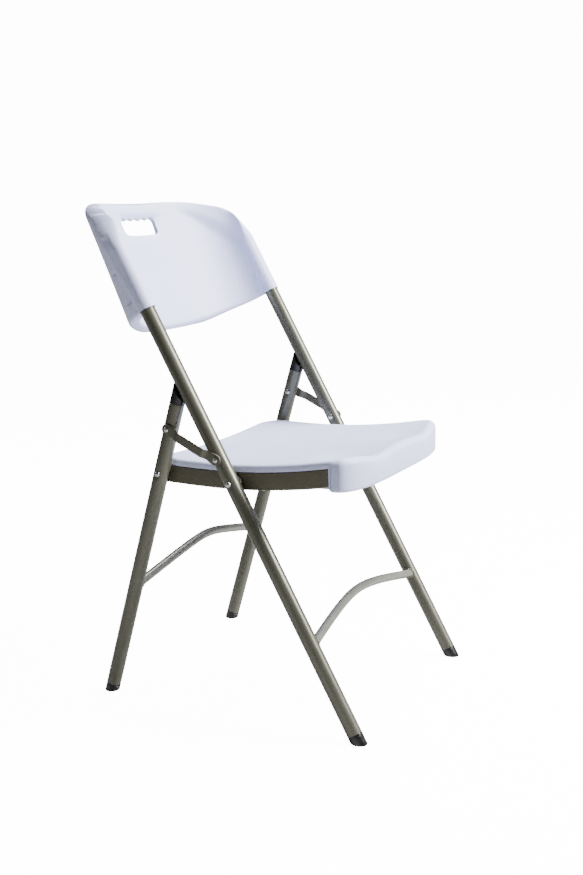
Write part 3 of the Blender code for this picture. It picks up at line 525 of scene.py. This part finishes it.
def make_crossbar(node, floor, up, shape):
    square = Vector((0.0, -up.z, up.y))
    rings = []
    for x in np.linspace(-BAR_HALF, BAR_HALF, 121):
        along = bar_point(x + 0.001, floor, up, shape) - bar_point(x - 0.001, floor, up, shape)
        along.normalize()
        other = along.cross(square).normalized()
        rings.append(circle(bar_point(x, floor, up, shape), square, other, BAR_R, 40))
    bar = loft(node, rings)
    # The bar paint's lighter tone is painted top light.
    dress(bar, node, BAR_PAINT_WITH_PAINTED_TOP_LIGHT)


def make_weld(name, body, side, floor, up, shape):
    """Rippled weld bead where a crossbar meets a tube."""
    forward = Vector((0.0, -up.z, up.y))
    centre = bar_point(side * (TUBE_X - 0.010), floor, up, shape)
    outer = bar_point(side * (TUBE_X - 0.030), floor, up, shape)
    slope = (centre - outer) / 0.020
    inward = Vector((-side, 0.0, 0.0))
    rings = []
    for angle in angles(72):
        off_forward = BAR_FORWARD + WELD_PATH_R * math.cos(angle)
        reach = math.sqrt(TUBE_R ** 2 - off_forward ** 2)
        point = centre + forward * (WELD_PATH_R * math.cos(angle))
        point += up * (WELD_PATH_R * math.sin(angle))
        shift = (TUBE_X - reach) - (TUBE_X - 0.010)
        point += slope * shift
        size = WELD_R * (1.0 + 0.14 * math.sin(angle * 17.0))
        radial = (forward * math.cos(angle) + up * math.sin(angle)).normalized()
        rings.append(circle(point, radial, inward, size, 10))
    rings.append(rings[0])
    bead = loft(name, rings, caps=False)
    add_trim(bead, body, TUBE_PAINT, 80.0)


# --- links and fasteners ----------------------------------------------------------------------
def make_strap(node, side):
    """Flat strap with round ends, set outwards between its two rivets."""
    inner = side * (TUBE_X + TUBE_R + GAP)
    along = (STRAP_REAR - STRAP_FRONT).normalized()
    across = ACROSS.cross(along)
    length = (STRAP_REAR - STRAP_FRONT).length
    stations = []
    for k in range(14):
        turn = math.radians(90.0 * k / 13.0)
        stations.append((-STRAP_END_R * math.cos(turn), STRAP_END_R * max(math.sin(turn), 0.06)))
    for k in range(1, 16):
        share = k / 15.0
        width = STRAP_END_R + (STRAP_WAIST - STRAP_END_R) * float(smoothstep(share * 1.2))
        stations.append((share * 0.028, width))
    stations += [(0.028 + (length / 2 - 0.028) * k / 6.0, STRAP_WAIST) for k in range(1, 6)]
    stations += [(length - a, w) for a, w in reversed(stations)]
    one = []
    two = []
    for a, width in stations:
        ramp = smoothstep((a - KINK_IN) / (KINK_OUT - KINK_IN))
        fall = smoothstep((length - a - KINK_IN) / (KINK_OUT - KINK_IN))
        x = inner + side * STRAP_JOGGLE * float(min(ramp, fall))
        centre = STRAP_FRONT + along * a
        for rows, depth in ((one, 0.0), (two, side * STRAP_T)):
            base = Vector((x + depth, centre.y, centre.z))
            rows.append([tuple(base + across * (width * share)) for share in (-1, -0.5, 0, 0.5, 1)])
    strap = sheet(node, np.array(one), np.array(two))
    round_edges(strap, 0.0006, 3, 50.0)
    dress(strap, node, STRAP_PAINT)


def rivet_profile(span):
    """Domed head, straight pin and flatter domed tail."""
    head = [(HEAD_R * math.cos(math.radians(a)), HEAD_H * math.sin(math.radians(a)))
            for a in range(84, -1, -12)]
    profile = [(0.0, 0.00245), (0.0006, 0.00246)] + head
    profile += [(HEAD_R - 0.0001, -0.00005), (RIVET_R, -0.0001), (RIVET_R, -span)]
    profile += [(HEAD_R * math.cos(math.radians(a)), -span - TAIL_H * math.sin(math.radians(a)))
                for a in range(0, 85, 14)]
    profile.append((0.0, -span - TAIL_H))
    return profile


def make_rivet(node, side, pivot, outer, inner):
    start = Vector((side * outer, pivot.y, pivot.z))
    rivet = turned(node, start, ACROSS * side, rivet_profile(outer - inner), 40)
    dress(rivet, node, RIVET_STEEL)


def make_spacer(node, side):
    outer = TUBE_X - TUBE_R - GAP
    inner = RAIL_X + GAP
    height = outer - inner
    hole = RIVET_R + GAP
    profile = [(hole, 0.0), (0.0081, 0.0), (0.0085, 0.0003), (0.0085, height - 0.0003)]
    profile += [(0.0081, height), (hole, height), (hole, 0.0)]
    start = Vector((side * inner, SEAT_FRONT.y, SEAT_FRONT.z))
    spacer = turned(node, start, ACROSS * side, profile, 48, caps=False)
    dress(spacer, node, NYLON)


def make_screw(node, seat_point, direction, length):
    """Pan-head screw with a cross recess and a ridged shank."""
    head_r = 0.0042
    head_h = 0.0022
    shank_r = 0.0018
    pitch = 0.0012
    profile = [(0.0, head_h)]
    profile += [(head_r * math.sin(math.radians(a)), head_h * math.cos(math.radians(a)) ** 0.6)
                for a in (20, 40, 55, 68, 78, 86)]
    profile += [(head_r, 0.0), (shank_r, 0.0)]
    for k in range(int(length / pitch)):
        level = -0.0004 - k * pitch
        profile += [(0.0014, level), (shank_r, level - 0.0006)]
    profile += [(0.0007, -length), (0.0, -length)]
    screw = turned(node, seat_point, direction, profile, 32)
    place = placed(seat_point + direction * (head_h - 0.0003), direction)
    for size in ((0.0042, 0.0009, 0.0026), (0.0009, 0.0042, 0.0026)):
        bm = bmesh.new()
        bmesh.ops.create_cube(bm, size=1.0, matrix=place @ Matrix.Diagonal((*size, 1.0)))
        cut(screw, from_bmesh(node + "_recess", bm))
    dress(screw, node, SCREW_STEEL)


# --- seat ---------------------------------------------------------------------------------------
def rail_rate(y):
    return np.where(y < RAIL_LOW_Y, 0.454, 0.20)


def rail_top(y):
    return RAIL_LOW_Z + rail_rate(y) * (y - RAIL_LOW_Y) ** 2


def rail_down(y):
    return Vector((0.0, 2.0 * float(rail_rate(y)) * (y - RAIL_LOW_Y), -1.0)).normalized()


def make_rail(node, side):
    """Angle section bent from sheet, with a round outer corner, swept along the seat's curve."""
    outer = 0.0024
    inner = outer - RAIL_T + 0.0004
    section = [(0.0, -0.0003), (0.0003, 0.0), (RAIL_T - 0.0003, 0.0), (RAIL_T, -0.0003)]
    for k in range(5):
        turn = math.radians(22.5 * k)
        section.append((RAIL_T + inner * (1.0 - math.cos(turn)),
                        -RAIL_H + RAIL_T + inner * (1.0 - math.sin(turn))))
    section += [(RAIL_FLANGE - 0.0003, -RAIL_H + RAIL_T), (RAIL_FLANGE, -RAIL_H + RAIL_T - 0.0003)]
    section += [(RAIL_FLANGE, -RAIL_H + 0.0003), (RAIL_FLANGE - 0.0003, -RAIL_H)]
    for k in range(7):
        turn = math.radians(15.0 * k)
        section.append((outer * (1.0 - math.sin(turn)), -RAIL_H + outer * (1.0 - math.cos(turn))))
    rings = []
    for y in np.linspace(RAIL_FRONT_Y, RAIL_REAR_Y, 72):
        top = float(rail_top(y))
        rings.append([Vector((side * (RAIL_X - inset), y, top + drop)) for inset, drop in section])
    rail = loft(node, rings)
    dress(rail, node, RAIL_PAINT, 32.0)


def seat_front_edge(x):
    ratio = np.minimum(np.abs(x) / (SEAT_HALF_W + 0.0005), 1.0)
    return SEAT_FRONT_Y + SEAT_BOW * (1.0 - (1.0 - ratio ** 4) ** 0.6)


def seat_rear_edge(x):
    corner = 0.045
    over = np.maximum(np.abs(x) - (SEAT_HALF_W - corner), 0.0) / corner
    return SEAT_REAR_Y - corner * (1.0 - np.sqrt(np.maximum(1.0 - 0.96 * over * over, 0.0)))


def outline_distance(outline, x, y):
    """Distance in the plane from each point to a polyline."""
    best = np.full(x.shape, 9.0)
    for start, end in zip(outline[:-1], outline[1:]):
        step = end - start
        size = max(float(step @ step), 1e-12)
        share = np.clip(((x - start[0]) * step[0] + (y - start[1]) * step[1]) / size, 0.0, 1.0)
        gap = np.hypot(x - start[0] - share * step[0], y - start[1] - share * step[1])
        best = np.minimum(best, gap)
    return best


def edge_drop(radius, distance):
    inside = np.maximum(radius - distance, 0.0)
    return radius - np.sqrt(np.maximum(radius * radius - inside * inside, 0.0))


def seat_top(x, y):
    """Top of the seat: the rails' curve, a shallow dish, and a dip under each thigh."""
    across = np.maximum(1.0 - (x / SEAT_DISH_X) ** 2, 0.0)
    rear = smoothstep((SEAT_REAR_Y + 0.060 - y) / 0.100)
    front = smoothstep((SEAT_FRONT_Y + 0.150 - y) / 0.110)
    dip = THIGH_DIP * np.exp(-(((np.abs(x) - THIGH_DIP_X) / 0.042) ** 2)) * front
    return rail_top(y) + SEAT_LIP_H - SEAT_DISH * across ** 1.4 * rear - dip


def seat_under(x, y):
    """Underside: front block, body between the rails with moulded dimples, and side lips."""
    body = np.minimum(rail_top(y) - RAIL_H - 0.004, SEAT_BLOCK_Z)
    cell_x = np.abs((x / DIMPLE_PITCH + 0.5) % 1.0 - 0.5) * DIMPLE_PITCH
    cell_y = np.abs(((y - RAIL_LOW_Y) / DIMPLE_PITCH + 0.5) % 1.0 - 0.5) * DIMPLE_PITCH
    inside = (np.abs(x) < 0.150) & (y > SEAT_BLOCK_Y + 0.030) & (y < SEAT_REAR_Y - 0.030)
    dimple = DIMPLE_DEPTH * (1.0 - smoothstep((np.hypot(cell_x, cell_y) - 0.004) / 0.010))
    body = body + np.where(inside, dimple, 0.0)
    flange_x = RAIL_X - RAIL_FLANGE - 0.001
    body = np.where(np.abs(x) > flange_x, rail_top(y) - RAIL_H + RAIL_T + GAP, body)
    body = np.where(np.abs(x) > SEAT_BODY_X, rail_top(y) + GAP, body)
    corner = edge_drop(0.006, np.where(np.abs(x) > flange_x, SEAT_BLOCK_Y - y, 1.0))
    return np.where(y < SEAT_BLOCK_Y, SEAT_BLOCK_Z + corner, body)


def make_seat_panel():
    flange_x = RAIL_X - RAIL_FLANGE - 0.001
    half = list(np.linspace(0.0, 0.160, 56)) + [flange_x - 0.0004, flange_x + 0.0004]
    half += list(np.linspace(0.170, SEAT_BODY_X - 0.0003, 6)) + [SEAT_BODY_X + 0.0003]
    half += [0.1820, 0.1830, 0.1838, 0.1845, 0.1851, 0.1856, 0.1860, 0.1863, SEAT_HALF_W]
    xs = np.array([-x for x in half[:0:-1]] + half)
    edge = np.linspace(-SEAT_HALF_W, SEAT_HALF_W, 241)
    outline = np.concatenate([np.stack([edge, seat_front_edge(edge)], 1),
                              np.stack([edge[::-1], seat_rear_edge(edge[::-1])], 1)])
    outline = np.concatenate([outline, outline[:1]])
    before = np.array([0.0, 0.012, 0.03, 0.06, 0.10, 0.15, 0.21, 0.28, 0.36, 0.46, 0.58, 0.72, 0.86])
    after = np.linspace(0.0, 0.93, 66)[1:]
    rear_steps = np.array([0.014, 0.010, 0.007, 0.0045, 0.0028, 0.0016, 0.0008, 0.0003, 0.0])
    front = seat_front_edge(xs)
    rear = seat_rear_edge(xs)
    rows = [front + share * (SEAT_BLOCK_Y - front) for share in before]
    rows += [np.full(xs.shape, SEAT_BLOCK_Y - gap) for gap in (0.0046, 0.0033, 0.0021, 0.0012, 0.0005)]
    rows += [np.full(xs.shape, SEAT_BLOCK_Y - 0.0001), np.full(xs.shape, SEAT_BLOCK_Y + 0.0004)]
    rows += [SEAT_BLOCK_Y + (rear - SEAT_BLOCK_Y) * share for share in after]
    rows += [rear - (rear - rows[-1]) * step / 0.0165 for step in rear_steps]
    y = np.stack(rows, 1)
    x = np.repeat(xs[:, None], y.shape[1], 1)
    distance = outline_distance(outline, x, y)
    near_front = smoothstep((SEAT_BLOCK_Y + 0.004 - y) / 0.024)
    upper = seat_top(x, y) - edge_drop(0.006 + 0.009 * near_front, distance)
    lower = seat_under(x, y) + edge_drop(0.003 + 0.005 * near_front, distance)
    lower = np.minimum(lower, upper - 0.002)
    seat = sheet("seat_panel", np.stack([x, y, upper], 2), np.stack([x, y, lower], 2))
    dress(seat, "seat_panel", WHITE_PLASTIC, 42.0)


# --- back ---------------------------------------------------------------------------------------
def back_place(x, n, s):
    """World places from x, n (rearwards from the tubes' plane) and s (along the tubes)."""
    y = FRONT_FLOOR.y + FRONT_UP.y * s + FRONT_BACK.y * n
    z = FRONT_UP.z * s + FRONT_BACK.z * n
    return np.stack([x, y, z], -1)


def back_top(x, power, root):
    ratio = np.minimum(np.abs(x) / (TUBE_X + SLEEVE_R), 1.0)
    return BACK_CORNER_S + BACK_CORNER_RISE * (1.0 - ratio ** power) ** root


def back_front_top(x):
    return back_top(x, 3.8, 0.72)


def back_rear_top(x):
    return back_top(x, 4.6, 0.50)


def back_bottom(x, low):
    return low + (SLEEVE_END_S - low) * smoothstep((np.abs(x) - 0.080) / 0.090)


def back_bulge(s):
    return BACK_BULGE + BACK_BULGE_GAIN * (BACK_GAIN_S - s)


def arch(x, half):
    return np.sqrt(np.maximum(1.0 - (x / half) ** 2, 0.0))


def full_arch(x):
    inside = np.maximum(1.0 - (np.abs(x) / BACK_REAR_X) ** BACK_REAR_POWER, 0.0)
    return inside ** (1.0 / BACK_REAR_POWER)


def back_front_n(x, s, distance):
    """Front face: an elliptical hollow between two rounded sleeves, and a rolled top."""
    base = (back_bulge(s) - BACK_THICKNESS) * arch(x, BACK_CREASE_X)
    width = 2.0 * SLEEVE_R * (1.0 - 0.35 * smoothstep((0.170 - np.abs(x)) / 0.070))
    height = SLEEVE_R * smoothstep((np.abs(x) - 0.085) / 0.090)
    height = height * (1.0 - 0.20 * smoothstep((s - 0.876) / 0.050))
    share = np.maximum(1.0 - 2.0 * distance / width, -1.0)
    roll = base - height * arch(share, 1.0)
    edge = BACK_TOP_DEPTH * np.maximum(1.0 - (np.abs(x) / BACK_CREASE_X) ** 2.2, 0.0)
    crest = base - height
    level = smoothstep((s - 0.872) / 0.035)
    top_roll = roll + (crest + (edge - crest) * share * share - roll) * level
    return np.where(share > 0.0, top_roll, roll)


def back_rear_n(x, s, distance):
    """Rear face: a bulging shell joined softly to the outer wall of each sleeve."""
    shoulder = BACK_SHOULDER * np.exp(-(((np.abs(x) - 0.115) / 0.040) ** 2))
    shoulder = shoulder * (1.0 - smoothstep((s - SLEEVE_END_S) / 0.090))
    shell = back_bulge(s) * (full_arch(x) + shoulder)
    low = s - back_bottom(x, BACK_REAR_BOTTOM_S)
    shell = shell - edge_drop(BACK_EDGE_R, np.minimum(distance, low))
    flat = 0.0005 + SLEEVE_WIDEN * np.maximum(s - SLEEVE_END_S, 0.0)
    sleeve = flat + SLEEVE_R * arch(np.maximum(SLEEVE_R - distance, 0.0), SLEEVE_R)
    return 0.5 * (shell + sleeve + np.hypot(shell - sleeve, BACK_JOIN))


def back_outline(top):
    """Polyline in (x, s) up one side, over the top and down the other."""
    half = TUBE_X + SLEEVE_R
    xs = half * np.sin(np.linspace(-math.pi / 2, math.pi / 2, 161))
    return np.concatenate([[[-half, 0.60]], np.stack([xs, top(xs)], 1), [[half, 0.60]]])


def relax(points, steps, share):
    """Even out the inside of a grid, or part of it, which softens its creases."""
    for _ in range(steps):
        around = points[:-2, 1:-1] + points[2:, 1:-1] + points[1:-1, :-2] + points[1:-1, 2:]
        step = 0.125 * around - 0.5 * points[1:-1, 1:-1]
        points[1:-1, 1:-1] += step * share
    return points


def clear_of_sides(x):
    """Share for relax that leaves the sleeves' outer walls as they are."""
    return 1.0 - smoothstep((np.abs(x[1:-1, 1:-1, None]) - 0.183) / 0.010)


def both_sides(half):
    half = np.asarray(half)
    return np.concatenate([-half[:0:-1], half])


def make_back_panel():
    radians = np.radians
    front_half = np.concatenate([BACK_CREASE_X * np.sin(radians(np.linspace(0.0, 88.5, 62))),
                                 TUBE_X + SLEEVE_R * np.cos(radians(np.linspace(177.0, 0.0, 26)))])
    rear_half = np.concatenate([BACK_REAR_X * np.sin(radians(np.linspace(0.0, 75.5, 66))),
                                TUBE_X + SLEEVE_R * np.cos(radians(np.linspace(88.0, 0.0, 22)))])
    shares = np.concatenate([[0.0, 0.001, 0.003, 0.006, 0.010, 0.015, 0.021, 0.028, 0.037],
                             np.linspace(0.05, 0.80, 56), np.linspace(0.81, 0.975, 30),
                             [0.981, 0.986, 0.990, 0.9935, 0.996, 0.998, 0.9992, 1.0]])
    x = np.repeat(both_sides(front_half)[None, :], len(shares), 0)
    low = back_bottom(x, BACK_BOTTOM_S)
    s = low + (back_front_top(x) - low) * shares[:, None]
    distance = outline_distance(back_outline(back_front_top), x, s)
    plain = 1.0 - smoothstep((np.abs(x) - 0.150) / 0.036)
    rim = edge_drop(BACK_EDGE_R, np.minimum(distance, s - low)) * plain
    depth = handle_funnel(x, s, back_front_n(x, s, distance) + rim)
    inner = clear_of_sides(x)
    band = smoothstep((shares[1:-1, None, None] - 0.55) / 0.15)
    front = relax(relax(back_place(x, depth, s), 3, inner), 24, inner * band)
    x = np.repeat(both_sides(rear_half)[None, :], len(shares), 0)
    low = back_bottom(x, BACK_REAR_BOTTOM_S)
    s = low + (back_rear_top(x) - low) * shares[:, None]
    distance = outline_distance(back_outline(back_rear_top), x, s)
    rear = relax(back_place(x, back_rear_n(x, s, distance), s), 4, clear_of_sides(x))
    back = sheet("back_panel", front, rear)
    cut(back, handle_cutter())
    for _, side in SIDES:
        start = tube_point(side, FRONT_FLOOR, FRONT_UP, BACK_BOTTOM_S - 0.01)
        profile = [(0.0, 0.0), (TUBE_R + 0.0030, 0.0), (TUBE_R + 0.0012, 0.0137)]
        profile += [(TUBE_R + 0.0005, 0.0150), (TUBE_R + 0.0005, 0.030), (0.0, 0.030)]
        cut(back, turned("sleeve_mouth", start, FRONT_UP, profile, 64))
        for level in BACK_SCREW_S:
            centre = tube_point(side, FRONT_FLOOR, FRONT_UP, level) + FRONT_BACK * BACK_SCREW_SEAT
            profile = [(0.0, 0.0), (0.0050, 0.0), (0.0050, 0.060), (0.0, 0.060)]
            cut(back, turned("screw_well", centre, FRONT_BACK, profile, 32))
    dress(back, "back_panel", WHITE_PLASTIC, 62.0)


def handle_outline(grow_x, grow_s):
    """Hand opening in (x, s): straight lower edge, five finger grips along the top."""
    half = HANDLE_HALF_W + grow_x
    low = HANDLE_S - grow_s
    high = HANDLE_S + HANDLE_HEIGHT + grow_s
    radius = 0.010 + grow_s
    points = []

    def corner(centre_x, centre_s, begin):
        for k in range(9):
            turn = math.radians(begin + 11.25 * k)
            points.append((centre_x + radius * math.cos(turn), centre_s + radius * math.sin(turn)))

    corner(half - radius, low + radius, -90.0)
    corner(half - radius, high - radius, 0.0)
    for k in range(1, 96):
        x = (half - radius) * (1.0 - k / 48.0)
        fade = float(smoothstep((half - radius - abs(x)) / 0.008))
        points.append((x, high + 0.0014 * (math.cos(x / 0.0034) - 1.0) * fade))
    corner(-half + radius, high - radius, 90.0)
    corner(-half + radius, low + radius, 180.0)
    for k in range(1, 40):
        points.append(((half - radius) * (k / 20.0 - 1.0), low))
    return np.array(points)


def handle_funnel(x, s, depth):
    """Press the front face back in a wide round around the hand opening."""
    reach = outline_distance(handle_outline(0.0, 0.0), x, s)
    inside = (np.abs(x) < HANDLE_HALF_W) & (s > HANDLE_S) & (s < HANDLE_S + HANDLE_HEIGHT)
    reach = np.where(inside, 0.0, reach)
    along = np.maximum(np.abs(x) - HANDLE_HALF_W, 0.0) / (reach + 0.0001)
    width = 0.010 + 0.020 * along
    share = np.clip(1.0 - reach / width, 0.0, 1.0)
    rear = back_bulge(s) * full_arch(x) - 0.0045
    return depth + (rear - depth) * (1.0 - np.sqrt(1.0 - share * share))


def handle_cutter():
    """Straight hole with a small round at the rear."""
    rings = []
    for depth, grow in ((-0.060, 0.0), (-0.003, 0.0), (-0.0015, 0.0003), (-0.0006, 0.0009),
                        (0.0, 0.002), (0.02, 0.010)):
        ring = handle_outline(grow, grow)
        level = back_bulge(ring[:, 1]) * full_arch(ring[:, 0]) + depth
        rings.append(back_place(ring[:, 0], level, ring[:, 1]))
    return loft("handle_hole", rings)


# --- assembly -------------------------------------------------------------------------------------
HEAD_ON_TUBE = TUBE_X + TUBE_R + GAP
HEAD_ON_STRAP = HEAD_ON_TUBE + STRAP_T + GAP
TAIL_ON_TUBE = TUBE_X - TUBE_R - GAP
FRONT_PIVOTS = [(STRAP_FRONT - FRONT_FLOOR).length, (SEAT_FRONT - FRONT_FLOOR).length]
REAR_PIVOTS = [(STRAP_REAR - REAR_FLOOR).length, (SEAT_REAR - REAR_FLOOR).length]
STOP_GAP = 0.0006
CAP_POINT = FRONT_FLOOR + FRONT_BACK * (TUBE_R + STOP_GAP)
FLOOR_POINT = Vector((0.0, 0.0, 0.0))
FLOOR_NORMAL = Vector((0.0, 0.0, 1.0))

for LABEL, SIDE in SIDES:
    make_tube(f"front_tube_{LABEL}", SIDE, FRONT_FLOOR, FRONT_UP, FRONT_TOP, FRONT_PIVOTS)
    make_tube(f"rear_tube_{LABEL}", SIDE, REAR_FLOOR, REAR_UP, REAR_TOP, REAR_PIVOTS)
    make_plug(f"front_foot_{LABEL}", SIDE, FRONT_FLOOR, FRONT_UP, FOOT_HEIGHT, FLOOR_POINT,
              FLOOR_NORMAL)
    make_plug(f"rear_foot_{LABEL}", SIDE, REAR_FLOOR, REAR_UP, FOOT_HEIGHT, FLOOR_POINT,
              FLOOR_NORMAL)
    make_plug(f"rear_tube_cap_{LABEL}", SIDE, REAR_FLOOR, REAR_UP, REAR_TOP + GAP, CAP_POINT,
              FRONT_BACK)
    make_strap(f"link_strap_{LABEL}", SIDE)
    make_rivet(f"strap_front_rivet_{LABEL}", SIDE, STRAP_FRONT, HEAD_ON_STRAP, TAIL_ON_TUBE)
    make_rivet(f"strap_rear_rivet_{LABEL}", SIDE, STRAP_REAR, HEAD_ON_STRAP, TAIL_ON_TUBE)
    make_rivet(f"seat_front_rivet_{LABEL}", SIDE, SEAT_FRONT, HEAD_ON_TUBE, RAIL_X - RAIL_T - GAP)
    make_rivet(f"seat_rear_rivet_{LABEL}", SIDE, SEAT_REAR, HEAD_ON_TUBE, TAIL_ON_TUBE)
    make_spacer(f"seat_spacer_{LABEL}", SIDE)
    make_rail(f"seat_rail_{LABEL}", SIDE)
    make_weld(f"front_bar_weld_{LABEL}", "front_frame", SIDE, FRONT_FLOOR, FRONT_UP, FRONT_BAR)
    make_weld(f"rear_bar_weld_{LABEL}", "rear_frame", SIDE, REAR_FLOOR, REAR_UP, REAR_BAR)
    for INDEX, SCREW_Y in enumerate(RAIL_SCREW_Y):
        DOWN = rail_down(SCREW_Y)
        BELOW = Vector((SIDE * RAIL_SCREW_X, SCREW_Y, float(rail_top(SCREW_Y)) - RAIL_H))
        make_screw(f"rail_screw_{LABEL}_{INDEX + 1}", BELOW + DOWN * GAP, DOWN, 0.014)
    for INDEX, SCREW_S in enumerate(BACK_SCREW_S):
        SEATED = tube_point(SIDE, FRONT_FLOOR, FRONT_UP, SCREW_S)
        SEATED += FRONT_BACK * (BACK_SCREW_SEAT + GAP)
        make_screw(f"back_screw_{LABEL}_{INDEX + 1}", SEATED, FRONT_BACK, 0.0115)
make_crossbar("front_crossbar", FRONT_FLOOR, FRONT_UP, FRONT_BAR)
make_crossbar("rear_crossbar", REAR_FLOOR, REAR_UP, REAR_BAR)
make_seat_panel()
make_back_panel()


# --- floor, light and camera ------------------------------------------------------------------------
def make_floor():
    bm = bmesh.new()
    bmesh.ops.create_grid(bm, x_segments=1, y_segments=1, size=FLOOR_SIZE)
    floor = from_bmesh("studio_floor", bm)
    floor.location = (0.0, 0.0, -0.0004)
    surface = Surface("studio_floor_paint", (0.50, 0.50, 0.50), 0.85)
    surface.shader.inputs["Emission Color"].default_value = (1.0, 1.0, 1.0, 1.0)
    glow = seen_or_lit(surface.nodes, surface.links, BACKDROP_SEEN, FLOOR_LIT)
    surface.links.new(glow, surface.shader.inputs["Emission Strength"])
    floor.data.materials.append(surface.material)


def make_light(name, place, target, size, power):
    light = bpy.data.lights.new(name, "AREA")
    light.shape = "RECTANGLE"
    light.size = size[0]
    light.size_y = size[1]
    light.energy = power
    lamp = bpy.data.objects.new(name, light)
    lamp.location = place
    aim = Vector(target) - Vector(place)
    lamp.rotation_euler = aim.to_track_quat("-Z", "Y").to_euler()
    bpy.context.scene.collection.objects.link(lamp)


def seen_or_lit(nodes, links, seen, lit):
    """Strength that the camera sees, and the one that lights the chair."""
    path = nodes.new("ShaderNodeLightPath")
    ramp = nodes.new("ShaderNodeMapRange")
    ramp.inputs["To Min"].default_value = lit
    ramp.inputs["To Max"].default_value = seen
    links.new(path.outputs["Is Camera Ray"], ramp.inputs["Value"])
    return ramp.outputs["Result"]


def make_world():
    world = bpy.data.worlds.new("studio")
    world.use_nodes = True
    nodes = world.node_tree.nodes
    background = nodes["Background"]
    background.inputs["Color"].default_value = (1.0, 1.0, 1.0, 1.0)
    strength = seen_or_lit(nodes, world.node_tree.links, BACKDROP_SEEN, WORLD_LIT)
    world.node_tree.links.new(strength, background.inputs["Strength"])
    bpy.context.scene.world = world


def make_camera():
    """View from the chair's right and front, from about the height of its top."""
    forward = Vector((math.sin(CAMERA_YAW) * math.cos(CAMERA_PITCH),
                      math.cos(CAMERA_YAW) * math.cos(CAMERA_PITCH), -math.sin(CAMERA_PITCH)))
    level = Vector((math.cos(CAMERA_YAW), -math.sin(CAMERA_YAW), 0.0))
    upright = level.cross(forward)
    right = math.cos(CAMERA_ROLL) * level + math.sin(CAMERA_ROLL) * upright
    up = math.cos(CAMERA_ROLL) * upright - math.sin(CAMERA_ROLL) * level
    place = FRONT_FLOOR + CAMERA_FROM_FEET
    camera = bpy.data.cameras.new("camera")
    camera.lens = CAMERA_LENS
    camera.sensor_width = 36.0
    obj = bpy.data.objects.new("camera", camera)
    turn = Matrix((right, up, -forward)).transposed()
    obj.matrix_world = Matrix.Translation(place) @ turn.to_4x4()
    bpy.context.scene.collection.objects.link(obj)
    bpy.context.scene.camera = obj


make_floor()
make_world()
make_camera()
make_light("key", (1.0, -3.0, 2.3), (0.0, 0.0, 0.50), (1.4, 1.4), 370.0)
make_light("top", (0.9, -0.5, 2.8), (0.0, 0.0, 0.45), (1.4, 1.4), 165.0)
make_light("rim", (-1.5, 2.6, 1.8), (0.0, 0.0, 0.50), (0.8, 1.6), 9.0)
